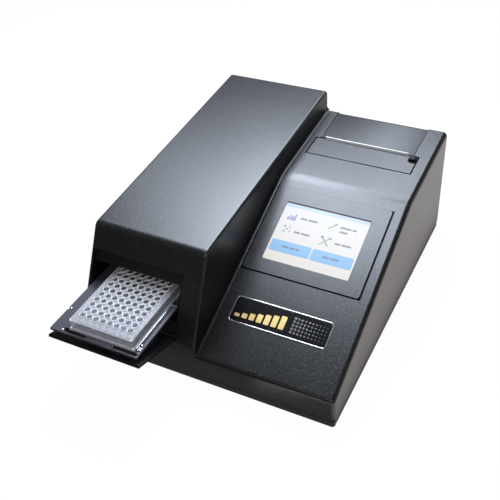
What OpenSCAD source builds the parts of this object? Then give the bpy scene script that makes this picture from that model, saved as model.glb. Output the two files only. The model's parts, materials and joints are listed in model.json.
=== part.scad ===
// Bench-top microplate reader with a sliding plate carrier, a drop-down flap,
// a touch screen and a built-in paper-roll printer. Millimetres. X runs to the
// right, Y to the back and Z up. The modules work in case coordinates, whose
// origin is the front left foot corner of the case, and place() moves them so
// that the whole reader stands centred over the origin.

/* [Case] */
// Width over the side walls
case_w = 324; // [300:1:360]
// Depth from the front band to the rear wall
case_d = 395; // [380:1:440]
// Wall thickness of the moulded cover
wall = 3; // [2:0.5:4]
// Height of the rubber feet
foot_h = 3; // [2:0.5:8]
// Height of the seam between base pan and cover
seam_h = 8; // [6:0.5:12]
// Gap between neighbouring case parts
case_gap = 0.3; // [0.2:0.05:0.6]
// Thickness of the sheet-metal floor
floor_t = 2; // [1.5:0.5:3]

/* [Tower] */
// Width of the tall left part, over the plate path
tower_w = 155; // [150:1:170]
// Height of the upright front band below the flap
band_h = 53; // [50:1:56]
// How far back the brow of the leaning face lies
brow_y = 49.5; // [44:0.5:56]
// Height of the brow
brow_h = 154; // [148:1:164]
// Height at the rear of the tower
tower_h = 178.5; // [170:0.5:200]
// Rounding of the brow
brow_r = 10; // [6:1:14]
// How far the left wall leans in at the full height
left_lean = 7; // [4:0.5:8]
// Rounding of the tower's edges
tower_edge = 3.5; // [3:0.5:5]

/* [Console] */
// Height of the front lip
lip_h = 40; // [36:1:46]
// Where the screen slope meets the printer deck, from the front
bend_y = 241; // [236:1:250]
// Height at that bend
bend_h = 138; // [132:1:142]
// Height of the deck at the rear wall
console_h = 150; // [146:1:156]
// Rounding of the bend
bend_r = 40; // [20:5:60]
// Rounding of the console's outer edges
console_edge = 6; // [4:0.5:8]
// How far the console's front and rear stand back from the tower's
console_setback = 0.3; // [0.2:0.1:1]

/* [Rear] */
// How far the connector field steps in below the rear wall
rear_step = 5.5; // [4:0.5:8]
// Height at which the step starts
step_low = 38; // [36:1:42]
// Height at which the step has faded out
step_high = 47; // [45:1:54]

/* [Flap] */
// Left edge of the flap
flap_x = 10; // [9:0.5:12]
// Width of the flap
flap_w = 120; // [118:0.5:122]
// Length of the flap from its hinge to its tip
flap_l = 75.5; // [70:0.1:78]
// Distance of the flap's hinge up the face
hinge_up = 4.8; // [4.7:0.1:8]
// Thickness of the flap
flap_t = 3.5; // [2.5:0.5:4]
// Depth of the recess that the closed flap lies in
recess_depth = 5; // [4.5:0.5:7]
// Gap round the closed flap
flap_gap = 1; // [0.6:0.1:1.5]
// Angle of the open flap above the horizontal
flap_rest = 18.2; // [14:0.1:18.4]
// Radius of the flap's hinge barrel
barrel_r = 2.5; // [2.2:0.1:2.8]
// Radius of the flap's hinge pin
flap_pin_r = 1.2; // [1:0.1:1.4]
// Radial clearance of pins, rods and shafts in their bores
run_fit = 0.05; // [0.02:0.01:0.1]
// Height of the plate slot's upper edge, along the face
slot_top = 66; // [62:1:70]

/* [Carrier] */
// Left edge of the carrier
carrier_x = 10.5; // [10:0.5:12]
// Width of the carrier
carrier_w = 114.5; // [112:0.5:116]
// Length of the carrier
carrier_l = 150; // [144:1:156]
// Thickness of the carrier plate
carrier_t = 3; // [2:0.5:4]
// Height of the carrier's upper face
carrier_z = 87; // [86:0.5:89]
// How far the carrier reaches out in front of the case
carrier_out = 63; // [60:0.5:63.5]
// Travel of the carrier
travel = 190; // [180:1:192]
// Radius of the two guide rods
rod_r = 3; // [2.5:0.5:4]
// Height of the guide rods
rod_z = 72; // [68:1:73]
// Depth of the pocket that the plate sits in
pocket_depth = 0.5; // [0.4:0.1:1]

/* [Microplate] */
// Length of the plate
plate_l = 127.76; // [127:0.01:128.5]
// Width of the plate
plate_w = 85.48; // [85:0.01:86]
// Height of the plate
plate_h = 14.3; // [10:0.1:15]
// Height of the plate's foot flange
flange_h = 2.5; // [1.5:0.1:4]
// How far the plate's body stands in from its foot
plate_inset = 1.3; // [0.8:0.1:2]
// Distance from well to well
well_pitch = 9; // [9:0.01:9.1]
// Radius of a well
well_r = 3.35; // [3:0.05:3.6]
// Depth of a well
well_depth = 10.7; // [8:0.1:11]
// Wall of a well
well_wall = 0.7; // [0.5:0.05:0.8]

/* [Drive] */
// Radius of the belt pulleys to the belt's middle
pulley_r = 5; // [4.5:0.25:5.5]
// Thickness of the belt
belt_t = 1; // [0.8:0.1:1.4]
// Width of the belt
belt_w = 6; // [4:1:8]
// Side of the stepping motors' square body
motor_side = 42; // [35:1:42]
// Height of the carrier motor's body
motor_h = 34; // [28:1:38]

/* [Optics] */
// Where the light crosses the plate, from the front
beam_y = 140; // [130:1:145]
// Radius of the filter wheel
wheel_r = 30; // [28:1:32]
// Thickness of the filter wheel
wheel_t = 4; // [3:0.5:5]
// Number of filters
filters = 8; // [6:1:8]
// Radius of a filter
filter_r = 6; // [5:0.5:6.5]
// Thickness of the optics bracket
bracket_t = 4; // [3:0.5:5]

/* [Screen] */
// Left edge of the screen panel
panel_x = 159.5; // [159:0.5:162]
// Width of the screen panel
panel_w = 148.5; // [144:0.5:150]
// Distance of the panel's lower edge up the slope
panel_u = 122; // [118:1:126]
// Length of the panel up the slope
panel_l = 121; // [112:1:122]
// Width of the groove round the panel
groove = 1.2; // [0.8:0.1:2]
// Width of the visible screen
screen_w = 110; // [100:1:114]
// Height of the visible screen
screen_l = 82.5; // [76:0.5:84]
// Height of the screen's lower edge up the slope
screen_u = 141; // [140:0.5:146]
// Thickness of the touch glass
glass_t = 1.8; // [1.1:0.1:2.5]
// Thickness of the display module
lcd_t = 8; // [6:0.5:12]

/* [Nameplate] */
// Left edge of the nameplate
badge_x = 171; // [168:0.5:176]
// Width of the nameplate
badge_w = 122; // [110:1:126]
// Distance of the nameplate's lower edge up the slope
badge_u = 53; // [50:0.5:56]
// Height of the nameplate
badge_l = 34; // [30:0.5:36]
// Corner rounding of the nameplate
badge_r = 5; // [3:0.5:6]
// Width of the bright rim
badge_rim_w = 2; // [1.5:0.1:3]

/* [Printer] */
// Left edge of the tear-off panel
tear_x = 166; // [164:0.5:167]
// Width of the tear-off panel
tear_w = 140; // [138:0.5:142]
// Distance of the tear-off panel's front edge along the deck
tear_u = 51; // [48:0.5:54]
// Left edge of the lid
lid_x = 173; // [172:0.5:174]
// Width of the lid
lid_w = 125.5; // [124:0.5:126]
// Distance of the lid's front edge along the deck
lid_u = 88.6; // [88:0.1:89]
// Thickness of lid and tear-off panel
lid_t = 3; // [2.5:0.5:3]
// How far the lid swings up
lid_open = 80; // [60:5:85]
// Width of the paper
paper_w = 112; // [108:1:112]
// Outer radius of the paper roll
roll_r = 22; // [16:1:23]
// Radius of the platen roller
platen_r = 6; // [5:0.5:6]
// Module of the feed gears
gear_m = 0.8; // [0.7:0.05:0.85]
// Teeth of the platen gear
platen_teeth = 16; // [14:1:16]
// Teeth of the feed gear
feed_teeth = 27; // [25:1:28]

/* [Hidden] */
$fn = 48;
cut = 1;            // how far a cutter runs past the face it opens
seat_gap = 0.1;     // gap where a piece lies against the inside of the shell
hull_fn = 32;       // facets on the corner balls of the moulded shell

// ---------------------------------------------------------------- frame
flap_lean = atan2(brow_y, brow_h - band_h);
slope_tilt = atan2(bend_h - lip_h, bend_y);
deck_tilt = atan2(console_h - bend_h, case_d - bend_y);
slope_l = norm([bend_y, bend_h - lip_h]);
hinge_y = hinge_up * sin(flap_lean) + barrel_r * cos(flap_lean);
hinge_z = band_h + hinge_up * cos(flap_lean) - barrel_r * sin(flap_lean);
flap_reach = flap_l * cos(flap_rest) + barrel_r * sin(flap_rest) - hinge_y;
case_front = (flap_reach - case_d) / 2;

module place() { translate([-case_w / 2, case_front, foot_h]) children(); }
module on_face() { translate([0, 0, band_h]) rotate([90 - flap_lean, 0, 0]) children(); }
module on_slope() { translate([0, 0, lip_h]) rotate([slope_tilt, 0, 0]) children(); }
module on_deck() { translate([0, bend_y, bend_h]) rotate([deck_tilt, 0, 0]) children(); }

// a box given by its low and high corners
module span(low, high) { translate(low) cube(high - low); }
// a round bar along X, centred at y, z
module bar_x(r, x0, x1, y, z) { translate([x0, y, z]) rotate([0, 90, 0]) cylinder(r = r, h = x1 - x0); }
// a round bar along Y, centred at x, z
module bar_y(r, y0, y1, x, z) { translate([x, y0, z]) rotate([-90, 0, 0]) cylinder(r = r, h = y1 - y0); }
// an upright round bar
module bar_z(r, z0, z1, x, y) { translate([x, y, z0]) cylinder(r = r, h = z1 - z0); }
// a rectangle with true round corners, from the origin
module round_rect(w, l, r) {
    translate([r, 0]) square([w - 2 * r, l]);
    translate([0, r]) square([w, l - 2 * r]);
    for (x = [r, w - r], y = [r, l - r]) translate([x, y]) circle(r);
}

// ---------------------------------------------------------------- moulded shell
// inward unit normal of the edge a-b of a profile that runs anticlockwise
function inward(a, b) = let (d = b - a) [-d[1], d[0]] / norm(d);
// centre of a circle of radius r that rounds corner b
function corner(a, b, c, r) = let (m = inward(a, b), n = inward(b, c)) b + r * (m + n) / (1 + m * n);
function corner_at(p, i, r) =
    corner(p[(i + len(p) - 1) % len(p)], p[i], p[(i + 1) % len(p)], r);
function lean_at(z) = left_lean * z / tower_h;

// side profiles as [y, z], anticlockwise, starting at the front foot
tower_side = [[0, seam_h], [case_d, seam_h], [case_d, tower_h], [brow_y, brow_h], [0, band_h]];
console_side = [[console_setback, seam_h], [case_d - console_setback, seam_h],
    [case_d - console_setback, console_h - console_setback * tan(deck_tilt)], [bend_y, bend_h],
    [console_setback, lip_h + console_setback * tan(slope_tilt)]];

// ring that rounds a profile corner of radius r between side edges of radius e
module edge_ring(r, e) {
    rotate([0, 90, 0])
        if (r > e) rotate_extrude($fn = hull_fn) intersection() {
            translate([r - e, 0]) circle(e, $fn = hull_fn);
            translate([0, -e]) square([2 * r, 2 * e]);
        }
        else sphere(e, $fn = hull_fn);
}

mould_r = 1.2;                  // smallest radius inside the moulded shell
// closed body over a side profile, inset by t, which runs below the seam by foot
module moulded_body(side, radii, e, t, x_left, x_right, lean, foot) {
    eb = max(e - t, mould_r);
    hull() {
        for (x = [x_left + t + eb, x_right - t - eb], y = [side[0][0] + t + eb, side[1][0] - t - eb])
            translate([x, y, seam_h - foot]) cylinder(r = eb, h = cut, $fn = hull_fn);
        for (i = [2 : 4]) {
            r = max(radii[i - 2] - t, eb);
            p = corner_at(side, i, r + t);
            left = x_left + (lean ? lean_at(side[i][1]) : 0);
            for (x = [left + t + eb, x_right - t - eb])
                translate([x, p[0], p[1]]) edge_ring(r, eb);
        }
    }
}
module tower_body(t) {
    moulded_body(tower_side, [6, brow_r, tower_edge], tower_edge, t, 0, tower_w, true, 1 + t);
}
console_left = tower_w - 40;
module console_body(t) {
    moulded_body(console_side, [console_edge, bend_r, console_edge], console_edge, t,
        console_left, case_w, false, 2 + t);
}
// ---------------------------------------------------------------- flap and plate slot
recess_x = flap_x - flap_gap;
recess_w = flap_w + 2 * flap_gap;
recess_low = 1;                 // lower and upper edge of the recess, along the face
recess_high = hinge_up + flap_l + flap_gap;
pad_t = 4;                      // thickness of the recess floor
frame_rim = 5;                  // how far the frame reaches past the recess
slot_side = 1.2;                // clearance beside the carrier in the slot
slot_low = 22;                  // lower edge of the slot, along the face
barrel_gap = 0.6;               // clearance round the hinge barrel
cheek_half = hinge_up - recess_low - 0.6;   // half the width of the cheeks that hold the hinge pin
cheek_top = barrel_r - 0.3;     // how far they stand out from the hinge axis
cheek_reach = norm([cheek_half, cheek_top]) + 0.6;
cheek_w = 2.6;
cheek_x = [recess_x + 0.3, recess_x + recess_w - 0.3 - cheek_w];
spring_w = 14;                  // gap in the barrel for the closing spring
flap_mid = flap_x + flap_w / 2;

// left edge of the frame at height u up the face, inside the leaning wall
function frame_left(u, gap) = lean_at(band_h + u * cos(flap_lean)) + wall + gap;

// ---------------------------------------------------------------- printer places
lid_hinge_in = 7;               // distance of the lid's axis from the rear and top faces
lid_axis_y = case_d - lid_hinge_in;
lid_axis_z = console_h - lid_hinge_in / cos(deck_tilt) - lid_hinge_in * tan(deck_tilt);
lid_pin_r = 2;
lid_gap = 0.5;                  // seam round lid and panels
tub_wall = 2.5;
tub_x0 = lid_x - 4.5;
tub_x1 = lid_x + lid_w + 4.5;
tub_bottom = 84;
tub_front = bend_y + tear_u - 2;
tear_back = lid_u - 2.3;        // rear edge of the tear-off panel, along the deck
paper_u = lid_u - 1.3;          // where the paper leaves, along the deck
platen_u = paper_u + 0.5 + platen_r;
platen_n = -platen_r - 5;
feed_n = platen_n - gear_m * (platen_teeth + feed_teeth) / 2;
platen_y = bend_y + platen_u * cos(deck_tilt) - platen_n * sin(deck_tilt);
platen_z = bend_h + platen_u * sin(deck_tilt) + platen_n * cos(deck_tilt);
roll_way = 36.5;                // direction from the platen down to the roll
roll_y = platen_y + (roll_r + platen_r + 0.3) * sin(roll_way);
roll_z = platen_z - (roll_r + platen_r + 0.3) * cos(roll_way);
core_r = 8;
button_side = 9.4;
button_x = lid_x + lid_w - 4;
button_u = tear_back - button_side - 1;
button_gap = 0.4;
gear_x = lid_x + 1;
gear_w = 3.5;
paper_x = lid_x + (lid_w - paper_w) / 2;

module printer_opening() {
    on_deck() {
        span([tear_x - lid_gap, tear_u - lid_gap, -wall - 3], [tear_x + tear_w + lid_gap, lid_u - lid_gap, 6]);
        span([lid_x - lid_gap, lid_u - 2 * lid_gap, -wall - 3],
            [lid_x + lid_w + lid_gap, case_d - bend_y + 6, 6]);
    }
    span([lid_x - lid_gap, lid_axis_y - 8, lid_axis_z - 6], [lid_x + lid_w + lid_gap, case_d + cut, console_h + 6]);
}

// ---------------------------------------------------------------- case
panel_seat = 3;                 // thickness of the screen panel
ledge = 4.5;                    // width of the ledge that carries the screen panel
rear_y = case_d - rear_step;    // outer face of the connector field
rear_t = 1.5;
flange_y = case_d - wall - console_setback - 0.1;
frame_t = 2.5;                 // thickness of the ring under the screen panel
rear_left = 6.2;                // side edges of the sheet that carries the connectors
rear_right = 317.4;
screw_r = 1.5;
vent_x = [60, case_w - 74];     // cooling slots in the base
vent_l = 48;
vent_w = 4;
vent_pitch = 9;
screw_x = [40, case_w / 2, case_w - 40];
screw_y = [20, rear_y - 17.5];

module cover() place() color([0.13, 0.13, 0.14])
    difference() {
        union() {
            tower_body(0);
            console_body(0);
        }
        tower_body(wall);
        console_body(wall);
        // open foot and stepped-in rear
        span([-cut, -cut, seam_h - 10], [case_w + cut, case_d + cut, seam_h]);
        translate([-cut, 0, 0]) rotate([90, 0, 90]) linear_extrude(case_w + 2 * cut)
            polygon([[rear_y, -10], [case_d + cut, -10], [case_d + cut, step_high + cut],
                [case_d - console_setback - 0.2, step_high], [rear_y, step_low]]);
        // mouth of the flap's recess
        on_face() span([recess_x, recess_low, -wall - 9], [recess_x + recess_w, recess_high, 6]);
        on_slope() span([panel_x - groove, panel_u - groove, -wall - 6],
            [panel_x + panel_w + groove, panel_u + panel_l + 0.3, 6]);
        printer_opening();
        on_slope() translate([badge_x - 0.2, badge_u - 0.2, -1])
            linear_extrude(5) round_rect(badge_w + 0.4, badge_l + 0.4, badge_r + 0.2);
    }

// ring under the screen opening, which carries the panel and the display
module screen_frame() place() color([0.08, 0.08, 0.09]) on_slope()
    difference() {
        span([panel_x - ledge, panel_u - ledge, -panel_seat - frame_t],
            [panel_x + panel_w + ledge, panel_u + panel_l + ledge, -panel_seat - seat_gap]);
        span([panel_x + ledge, panel_u + ledge, -panel_seat - frame_t - cut],
            [panel_x + panel_w - ledge, panel_u + panel_l - ledge, 0]);
    }

// block behind the face that ends at depth top, at a distance gap from the leaning wall
module frame_block(top, gap) {
    depth = recess_depth + pad_t;
    on_face() translate([0, 0, -depth]) linear_extrude(depth + top)
        polygon([[frame_left(0, gap), 0], [recess_x + recess_w + frame_rim, 0],
            [recess_x + recess_w + frame_rim, recess_high + frame_rim],
            [frame_left(recess_high + frame_rim, gap), recess_high + frame_rim]]);
}
// moulding behind the face: floor of the flap's recess, plate slot and hinge cheeks
module flap_frame() place() color([0.10, 0.10, 0.11])
    difference() {
        union() {
            difference() {
                union() {
                    frame_block(-wall - mould_r - 0.1, case_gap);
                    frame_block(-wall - seat_gap, mould_r + 0.1);
                    span([frame_left(8, mould_r + 0.1), wall + 0.2, band_h - 12],
                        [recess_x + recess_w + frame_rim, 12, band_h + 6]);
                }
                on_face() span([recess_x, -12, -recess_depth], [recess_x + recess_w, recess_high, 6]);
                on_face() span([-cut, -12, -wall - seat_gap], [case_w, recess_high + 12, 6]);
            }
            for (x = cheek_x)
                on_face() span([x, hinge_up - cheek_half, -recess_depth - 2],
                    [x + cheek_w, hinge_up + cheek_half, cheek_top - barrel_r]);
        }
        on_face() span([carrier_x - slot_side, slot_low, -recess_depth - pad_t - 8],
            [carrier_x + carrier_w + slot_side, slot_top, 0]);
        bar_x(barrel_r + barrel_gap, cheek_x[0] + cheek_w + 0.2, cheek_x[1] - 0.2, hinge_y, hinge_z);
        bar_x(flap_pin_r + run_fit, recess_x + 0.1, recess_x + recess_w - 0.1, hinge_y, hinge_z);
    }

module base_pan() place() color([0.10, 0.10, 0.11]) {
    rim = 2;
    inner = wall + case_gap;
    difference() {
        union() {
            translate([0, 0, 0]) linear_extrude(seam_h - case_gap) round_rect(case_w, rear_y, tower_edge);
            translate([inner, inner, 0]) linear_extrude(seam_h + 4)
                round_rect(case_w - 2 * inner, rear_y - inner - rear_t - 3, tower_edge);
        }
        translate([inner + rim, inner + rim, floor_t]) linear_extrude(seam_h + 5)
            round_rect(case_w - 2 * (inner + rim), rear_y - 2 * (inner + rim) - 2, tower_edge - 1);
        for (x = screw_x, y = screw_y) translate([x, y, -cut]) cylinder(r = screw_r + 0.2, h = floor_t + 2 * cut);
        // cooling slots under the lamp and the power supply
        for (x = vent_x, i = [0 : 2])
            translate([x - vent_l / 2, rear_y - 75.5 + vent_pitch * i, -cut])
                linear_extrude(floor_t + 2 * cut) round_rect(vent_l, vent_w, vent_w / 2 - 0.1);
    }
}

module rear_panel() place() color([0.16, 0.16, 0.17])
    difference() {
        // sheet with a flange that runs up behind the cover's rear wall
        translate([rear_left, 0, 0]) rotate([90, 0, 90])
            linear_extrude(rear_right - rear_left) polygon([
                [rear_y - rear_t, seam_h], [rear_y, seam_h], [rear_y, step_low - 0.3],
                [flange_y, step_low + 3], [flange_y, step_high + 4], [flange_y - rear_t, step_high + 4],
                [flange_y - rear_t, step_low + 4], [rear_y - rear_t, step_low + 0.5]]);
        span([inlet_x - 14, rear_y - 4, port_z - 10.2], [inlet_x + 14, rear_y + cut, port_z + 10.2]);
        span([switch_x - 9.7, rear_y - 4, port_z - 10.7], [switch_x + 9.7, rear_y + cut, port_z + 10.7]);
        for (x = usb_x) span([x - 7, rear_y - 4, port_z - 3.3], [x + 7, rear_y + cut, port_z + 3.3]);
        span([serial_x - 9, rear_y - 4, port_z - 5.2], [serial_x + 9, rear_y + cut, port_z + 5.2]);
        for (s = [-1, 1]) bar_y(1.7, rear_y - 4, rear_y + cut, serial_x + s * 12.5, port_z);
        for (i = [0 : 11]) translate([170 + 5 * i, rear_y - 4, port_z - 9]) cube([2.4, 6, 18]);
    }

foot_x = [22, case_w - 22];
foot_y = [24, rear_y - 24];
module feet() place() color([0.05, 0.05, 0.05])
    for (x = foot_x, y = foot_y) {
        translate([x, y, -foot_h]) cylinder(r = 8, h = foot_h);
    }

module case_screws() place() color("silver")
    for (x = screw_x, y = screw_y) {
        translate([x, y, -1.6]) cylinder(r = 2.9, h = 1.6);
        translate([x, y, -0.1]) cylinder(r = screw_r, h = 9);
    }

// ---------------------------------------------------------------- flap
// flap seen closed: u runs up the face from the hinge axis, n stands out of it
barrel_x = [cheek_x[0] + cheek_w + 0.4, cheek_x[1] - 0.4];
module flap_shape() {
    difference() {
        union() {
            span([barrel_x[0], 0, barrel_r - flap_t], [barrel_x[1], cheek_reach + 1, barrel_r]);
            span([flap_x, cheek_reach, barrel_r - flap_t], [flap_x + flap_w, flap_l, barrel_r]);
            bar_x(barrel_r, barrel_x[0], barrel_x[1], 0, 0);
            // stiffening rim on the inner face
            for (x = [flap_x + 6, flap_x + flap_w - 8])
                span([x, 8, barrel_r - flap_t - 0.8], [x + 2, flap_l - 6, barrel_r - flap_t + 0.1]);
        }
        bar_x(flap_pin_r + run_fit, flap_x - cut, flap_x + flap_w + cut, 0, 0);
        span([flap_mid - spring_w / 2, -barrel_r - cut, -barrel_r - cut],
            [flap_mid + spring_w / 2, barrel_r + 1.5, barrel_r + cut]);
    }
}
module flap() place() color([0.06, 0.06, 0.07])
    translate([0, hinge_y, hinge_z]) rotate([180 - flap_rest, 0, 0]) flap_shape();

module flap_pin() place() color("silver")
    bar_x(flap_pin_r, cheek_x[0], cheek_x[1] + cheek_w, hinge_y, hinge_z);

spring_turns = 9;
wire_r = 0.4;
module flap_spring() place() color("silver")
    for (i = [0 : spring_turns - 1])
        translate([flap_mid - (spring_turns - 1) / 2 * 1.2 + 1.2 * i, hinge_y, hinge_z]) rotate([0, 90, 0])
            rotate_extrude($fn = 24) translate([flap_pin_r + 0.2 + wire_r, 0]) circle(wire_r, $fn = 16);

// ---------------------------------------------------------------- screen and nameplate
screen_x = panel_x + (panel_w - screen_w) / 2 - 0.4;
glass_margin = 3.5;
module screen_bezel() place() color([0.14, 0.14, 0.15]) on_slope()
    difference() {
        translate([panel_x, panel_u, -panel_seat]) linear_extrude(panel_seat) round_rect(panel_w, panel_l, 2.5);
        translate([screen_x, screen_u, -panel_seat - cut]) linear_extrude(panel_seat + 2 * cut)
            round_rect(screen_w, screen_l, 2.5);
        span([screen_x - glass_margin - 0.2, screen_u - glass_margin - 0.2, -panel_seat - cut],
            [screen_x + screen_w + glass_margin + 0.2, screen_u + screen_l + glass_margin + 0.2, -1.2]);
    }
module touch_panel() place() color([0.85, 0.9, 0.95]) on_slope()
    span([screen_x - glass_margin, screen_u - glass_margin, -1.2 - glass_t],
        [screen_x + screen_w + glass_margin, screen_u + screen_l + glass_margin, -1.2]);
module lcd_module() place() color("silver") on_slope()
    difference() {
        span([screen_x - 6, screen_u - 5, -1.2 - glass_t - lcd_t], [screen_x + screen_w + 6, screen_u + screen_l + 5, -1.2 - glass_t]);
        span([screen_x - 3, screen_u - 3, -1.2 - glass_t - lcd_t - cut],
            [screen_x + screen_w + 3, screen_u + screen_l + 3, -glass_t - lcd_t + 0.3]);
    }

module badge_rim() place() color("silver") on_slope() translate([badge_x, badge_u, -1])
    linear_extrude(1.8) difference() {
        round_rect(badge_w, badge_l, badge_r);
        translate([badge_rim_w, badge_rim_w])
            round_rect(badge_w - 2 * badge_rim_w, badge_l - 2 * badge_rim_w, badge_r - badge_rim_w);
    }
module badge_plate() place() color([0.03, 0.03, 0.03]) on_slope()
    translate([badge_x + badge_rim_w + 0.1, badge_u + badge_rim_w + 0.1, -1]) linear_extrude(1.2)
        round_rect(badge_w - 2 * badge_rim_w - 0.2, badge_l - 2 * badge_rim_w - 0.2, badge_r - badge_rim_w);

// ---------------------------------------------------------------- printer
module deck_bar(r, x0, x1, u, n) { on_deck() bar_x(r, x0, x1, u, n); }
tub_back = case_d - wall - 0.4;
tub_edge_u = (tub_back - bend_y - lid_t * sin(deck_tilt)) / cos(deck_tilt);
module printer_tub() place() color([0.09, 0.09, 0.10])
    difference() {
        intersection() {
            union() {
                span([tub_x0, tub_front, tub_bottom], [tub_x1, tub_back, console_h]);
                // flange that carries the tear-off panel
                on_deck() span([tear_x + 0.2, tear_u + 0.2, -lid_t - 2.5], [tear_x + tear_w - 0.2, tear_back - 20, -lid_t]);
            }
            on_deck() span([tear_x, 0, -80], [tear_x + tear_w, 160, -lid_t - seat_gap]);
        }
        span([tub_x0 + tub_wall, tub_front + tub_wall, tub_bottom + tub_wall],
            [tub_x1 - tub_wall, tub_back - tub_wall, console_h]);
        // rear top edge, kept clear of the shell's inner radius
        on_deck() translate([tub_x0 - cut, tub_edge_u, -lid_t]) rotate([45, 0, 0])
            translate([0, -mould_r, -mould_r]) cube([tub_x1 - tub_x0 + 2 * cut, 2 * mould_r, 2 * mould_r]);
        // room for the lid's round rear edge
        bar_x(lid_hinge_in + 0.3, lid_x - lid_gap, lid_x + lid_w + lid_gap, lid_axis_y, lid_axis_z);
        bar_x(lid_pin_r + run_fit, tub_x0 - cut, tub_x1 + cut, lid_axis_y, lid_axis_z);
        bar_x(spindle_end_r + run_fit, tub_x0 - cut, tub_x1 + cut, roll_y, roll_z);
        deck_bar(shaft_r + 0.4, tub_x0 - cut, tub_x0 + tub_wall + cut, platen_u, feed_n);
        on_deck() span([button_x - button_gap, button_u - button_gap, -14],
            [button_x + button_side + button_gap, button_u + button_side + button_gap, 0]);
    }

module tear_panel() place() color([0.15, 0.15, 0.16]) on_deck()
    difference() {
        translate([tear_x, tear_u, -lid_t]) linear_extrude(lid_t) round_rect(tear_w, tear_back - tear_u, 1.5);
        // saw-tooth tear edge, cut into the panel's rear edge
        for (i = [0 : 2 : paper_w - 12])
            translate([paper_x + 2 + i, tear_back - 0.6, -lid_t - cut]) rotate([0, 0, 45]) cube([1, 1, lid_t + 2 * cut]);
        span([button_x - button_gap, button_u - button_gap, -lid_t - cut],
            [button_x + button_side + button_gap, button_u + button_side + button_gap, cut]);
    }

head_x = paper_x + 1;
module print_head() place() color([0.55, 0.5, 0.4]) on_deck()
    difference() {
        span([head_x, tear_back - 6, platen_n - 8], [head_x + paper_w - 12, paper_u - 0.3, -lid_t]);
        span([head_x - cut, tear_back - 0.3, -lid_t - 2], [head_x + paper_w, paper_u, 0]);
    }

spindle_end_r = 4;
module roll_spindle() place() color([0.2, 0.2, 0.2]) {
    bar_x(core_r, paper_x - 1, paper_x + paper_w + 1, roll_y, roll_z);
    bar_x(spindle_end_r, tub_x0 + 0.3, tub_x1 - 0.3, roll_y, roll_z);
}
module paper_roll() place() color("white")
    difference() {
        bar_x(roll_r, paper_x, paper_x + paper_w, roll_y, roll_z);
        bar_x(core_r + run_fit, paper_x - cut, paper_x + paper_w + cut, roll_y, roll_z);
    }
paper_t = 0.3;
module paper_strip() place() color("white") on_deck()
    span([paper_x, paper_u - paper_t / 2, platen_n - 10], [paper_x + paper_w, paper_u + paper_t / 2, 2]);

shaft_r = 1.5;
module feed_motor() place() color([0.3, 0.3, 0.32]) {
    difference() {
        deck_bar(10, tub_x0 - 20, tub_x0, platen_u, feed_n);
        deck_bar(shaft_r + run_fit, tub_x0 - 6, tub_x0 + cut, platen_u, feed_n);
    }
}

// spur gear with straight-flanked teeth, thinned a little so that the pair runs free
module gear(teeth, thick, turn) {
    pitch = gear_m * teeth / 2;
    half = 90 / teeth - 2.2 * gear_m / pitch;
    rotate(turn) linear_extrude(thick) {
        circle(pitch - gear_m, $fn = 4 * teeth);
        for (i = [0 : teeth - 1]) rotate(360 / teeth * i)
            polygon([for (p = [[-1.25, 1.45], [0, 1], [0.85, 0.5]])
                    (pitch + p[0] * gear_m) * [cos(half * p[1]), -sin(half * p[1])],
                for (p = [[0.85, 0.5], [0, 1], [-1.25, 1.45]])
                    (pitch + p[0] * gear_m) * [cos(half * p[1]), sin(half * p[1])]]);
    }
}
module platen_gear() place() color("white") on_deck()
    translate([gear_x, platen_u, platen_n]) rotate([0, 90, 0])
        difference() {
            gear(platen_teeth, gear_w, 0);
            translate([0, 0, -cut]) cylinder(r = shaft_r + 1.01, h = gear_w + 2 * cut);
        }
module feed_gear() place() color("white") on_deck()
    translate([gear_x, platen_u, feed_n]) rotate([0, 90, 0]) {
        gear(feed_teeth, gear_w, 180 + 180 / feed_teeth);
        translate([0, 0, -(gear_x - tub_x0) - 5.5]) cylinder(r = shaft_r, h = gear_x - tub_x0 + 5.6);
    }

ear_t = 2.5;
ear_x0 = gear_x + gear_w + 0.5;
ear_x1 = lid_x + lid_w - 6;
module printer_lid() place() color([0.15, 0.15, 0.16])
    difference() {
        union() {
            on_deck() span([lid_x, lid_u, -lid_t], [lid_x + lid_w, case_d - bend_y - lid_hinge_in, 0]);
            bar_x(lid_hinge_in - 0.3, lid_x, lid_x + lid_w, lid_axis_y, lid_axis_z);
            // ears for the platen shaft
            for (x = [ear_x0, ear_x1]) on_deck() {
                span([x, lid_u + 1, platen_n], [x + ear_t, platen_u + 5, -lid_t + 0.1]);
                bar_x(4, x, x + ear_t, platen_u, platen_n);
            }
            // ribs under the lid
            for (x = [lid_x + 30, lid_x + lid_w / 2 - 1, lid_x + lid_w - 32])
                on_deck() span([x, platen_u + 9, -lid_t - 3], [x + 2, lid_axis_y - bend_y - 6, -lid_t + 0.1]);
        }
        for (x = [ear_x0, ear_x1]) deck_bar(shaft_r + 1 + run_fit, x - cut, x + ear_t + cut, platen_u, platen_n);
        bar_x(lid_pin_r + run_fit, lid_x - cut, lid_x + lid_w + cut, lid_axis_y, lid_axis_z);
        on_deck() translate([0, lid_u - 0.01, 0]) rotate([45, 0, 0])
            cube([3 * case_w, 0.8, 0.8], center = true);
    }
module lid_pin() place() color("silver")
    bar_x(lid_pin_r, tub_x0 + 0.2, tub_x1 - 0.2, lid_axis_y, lid_axis_z);

module platen_roller() place() color([0.08, 0.08, 0.08]) {
    deck_bar(platen_r, ear_x0 + ear_t + 0.4, ear_x1 - 0.4, platen_u, platen_n);
    deck_bar(shaft_r + 1, gear_x, ear_x1 + ear_t + 1, platen_u, platen_n);
}

module release_button() place() color([0.02, 0.02, 0.02]) on_deck() {
    translate([button_x, button_u, -9]) linear_extrude(13) round_rect(button_side, button_side, 1.5);
}

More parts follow.
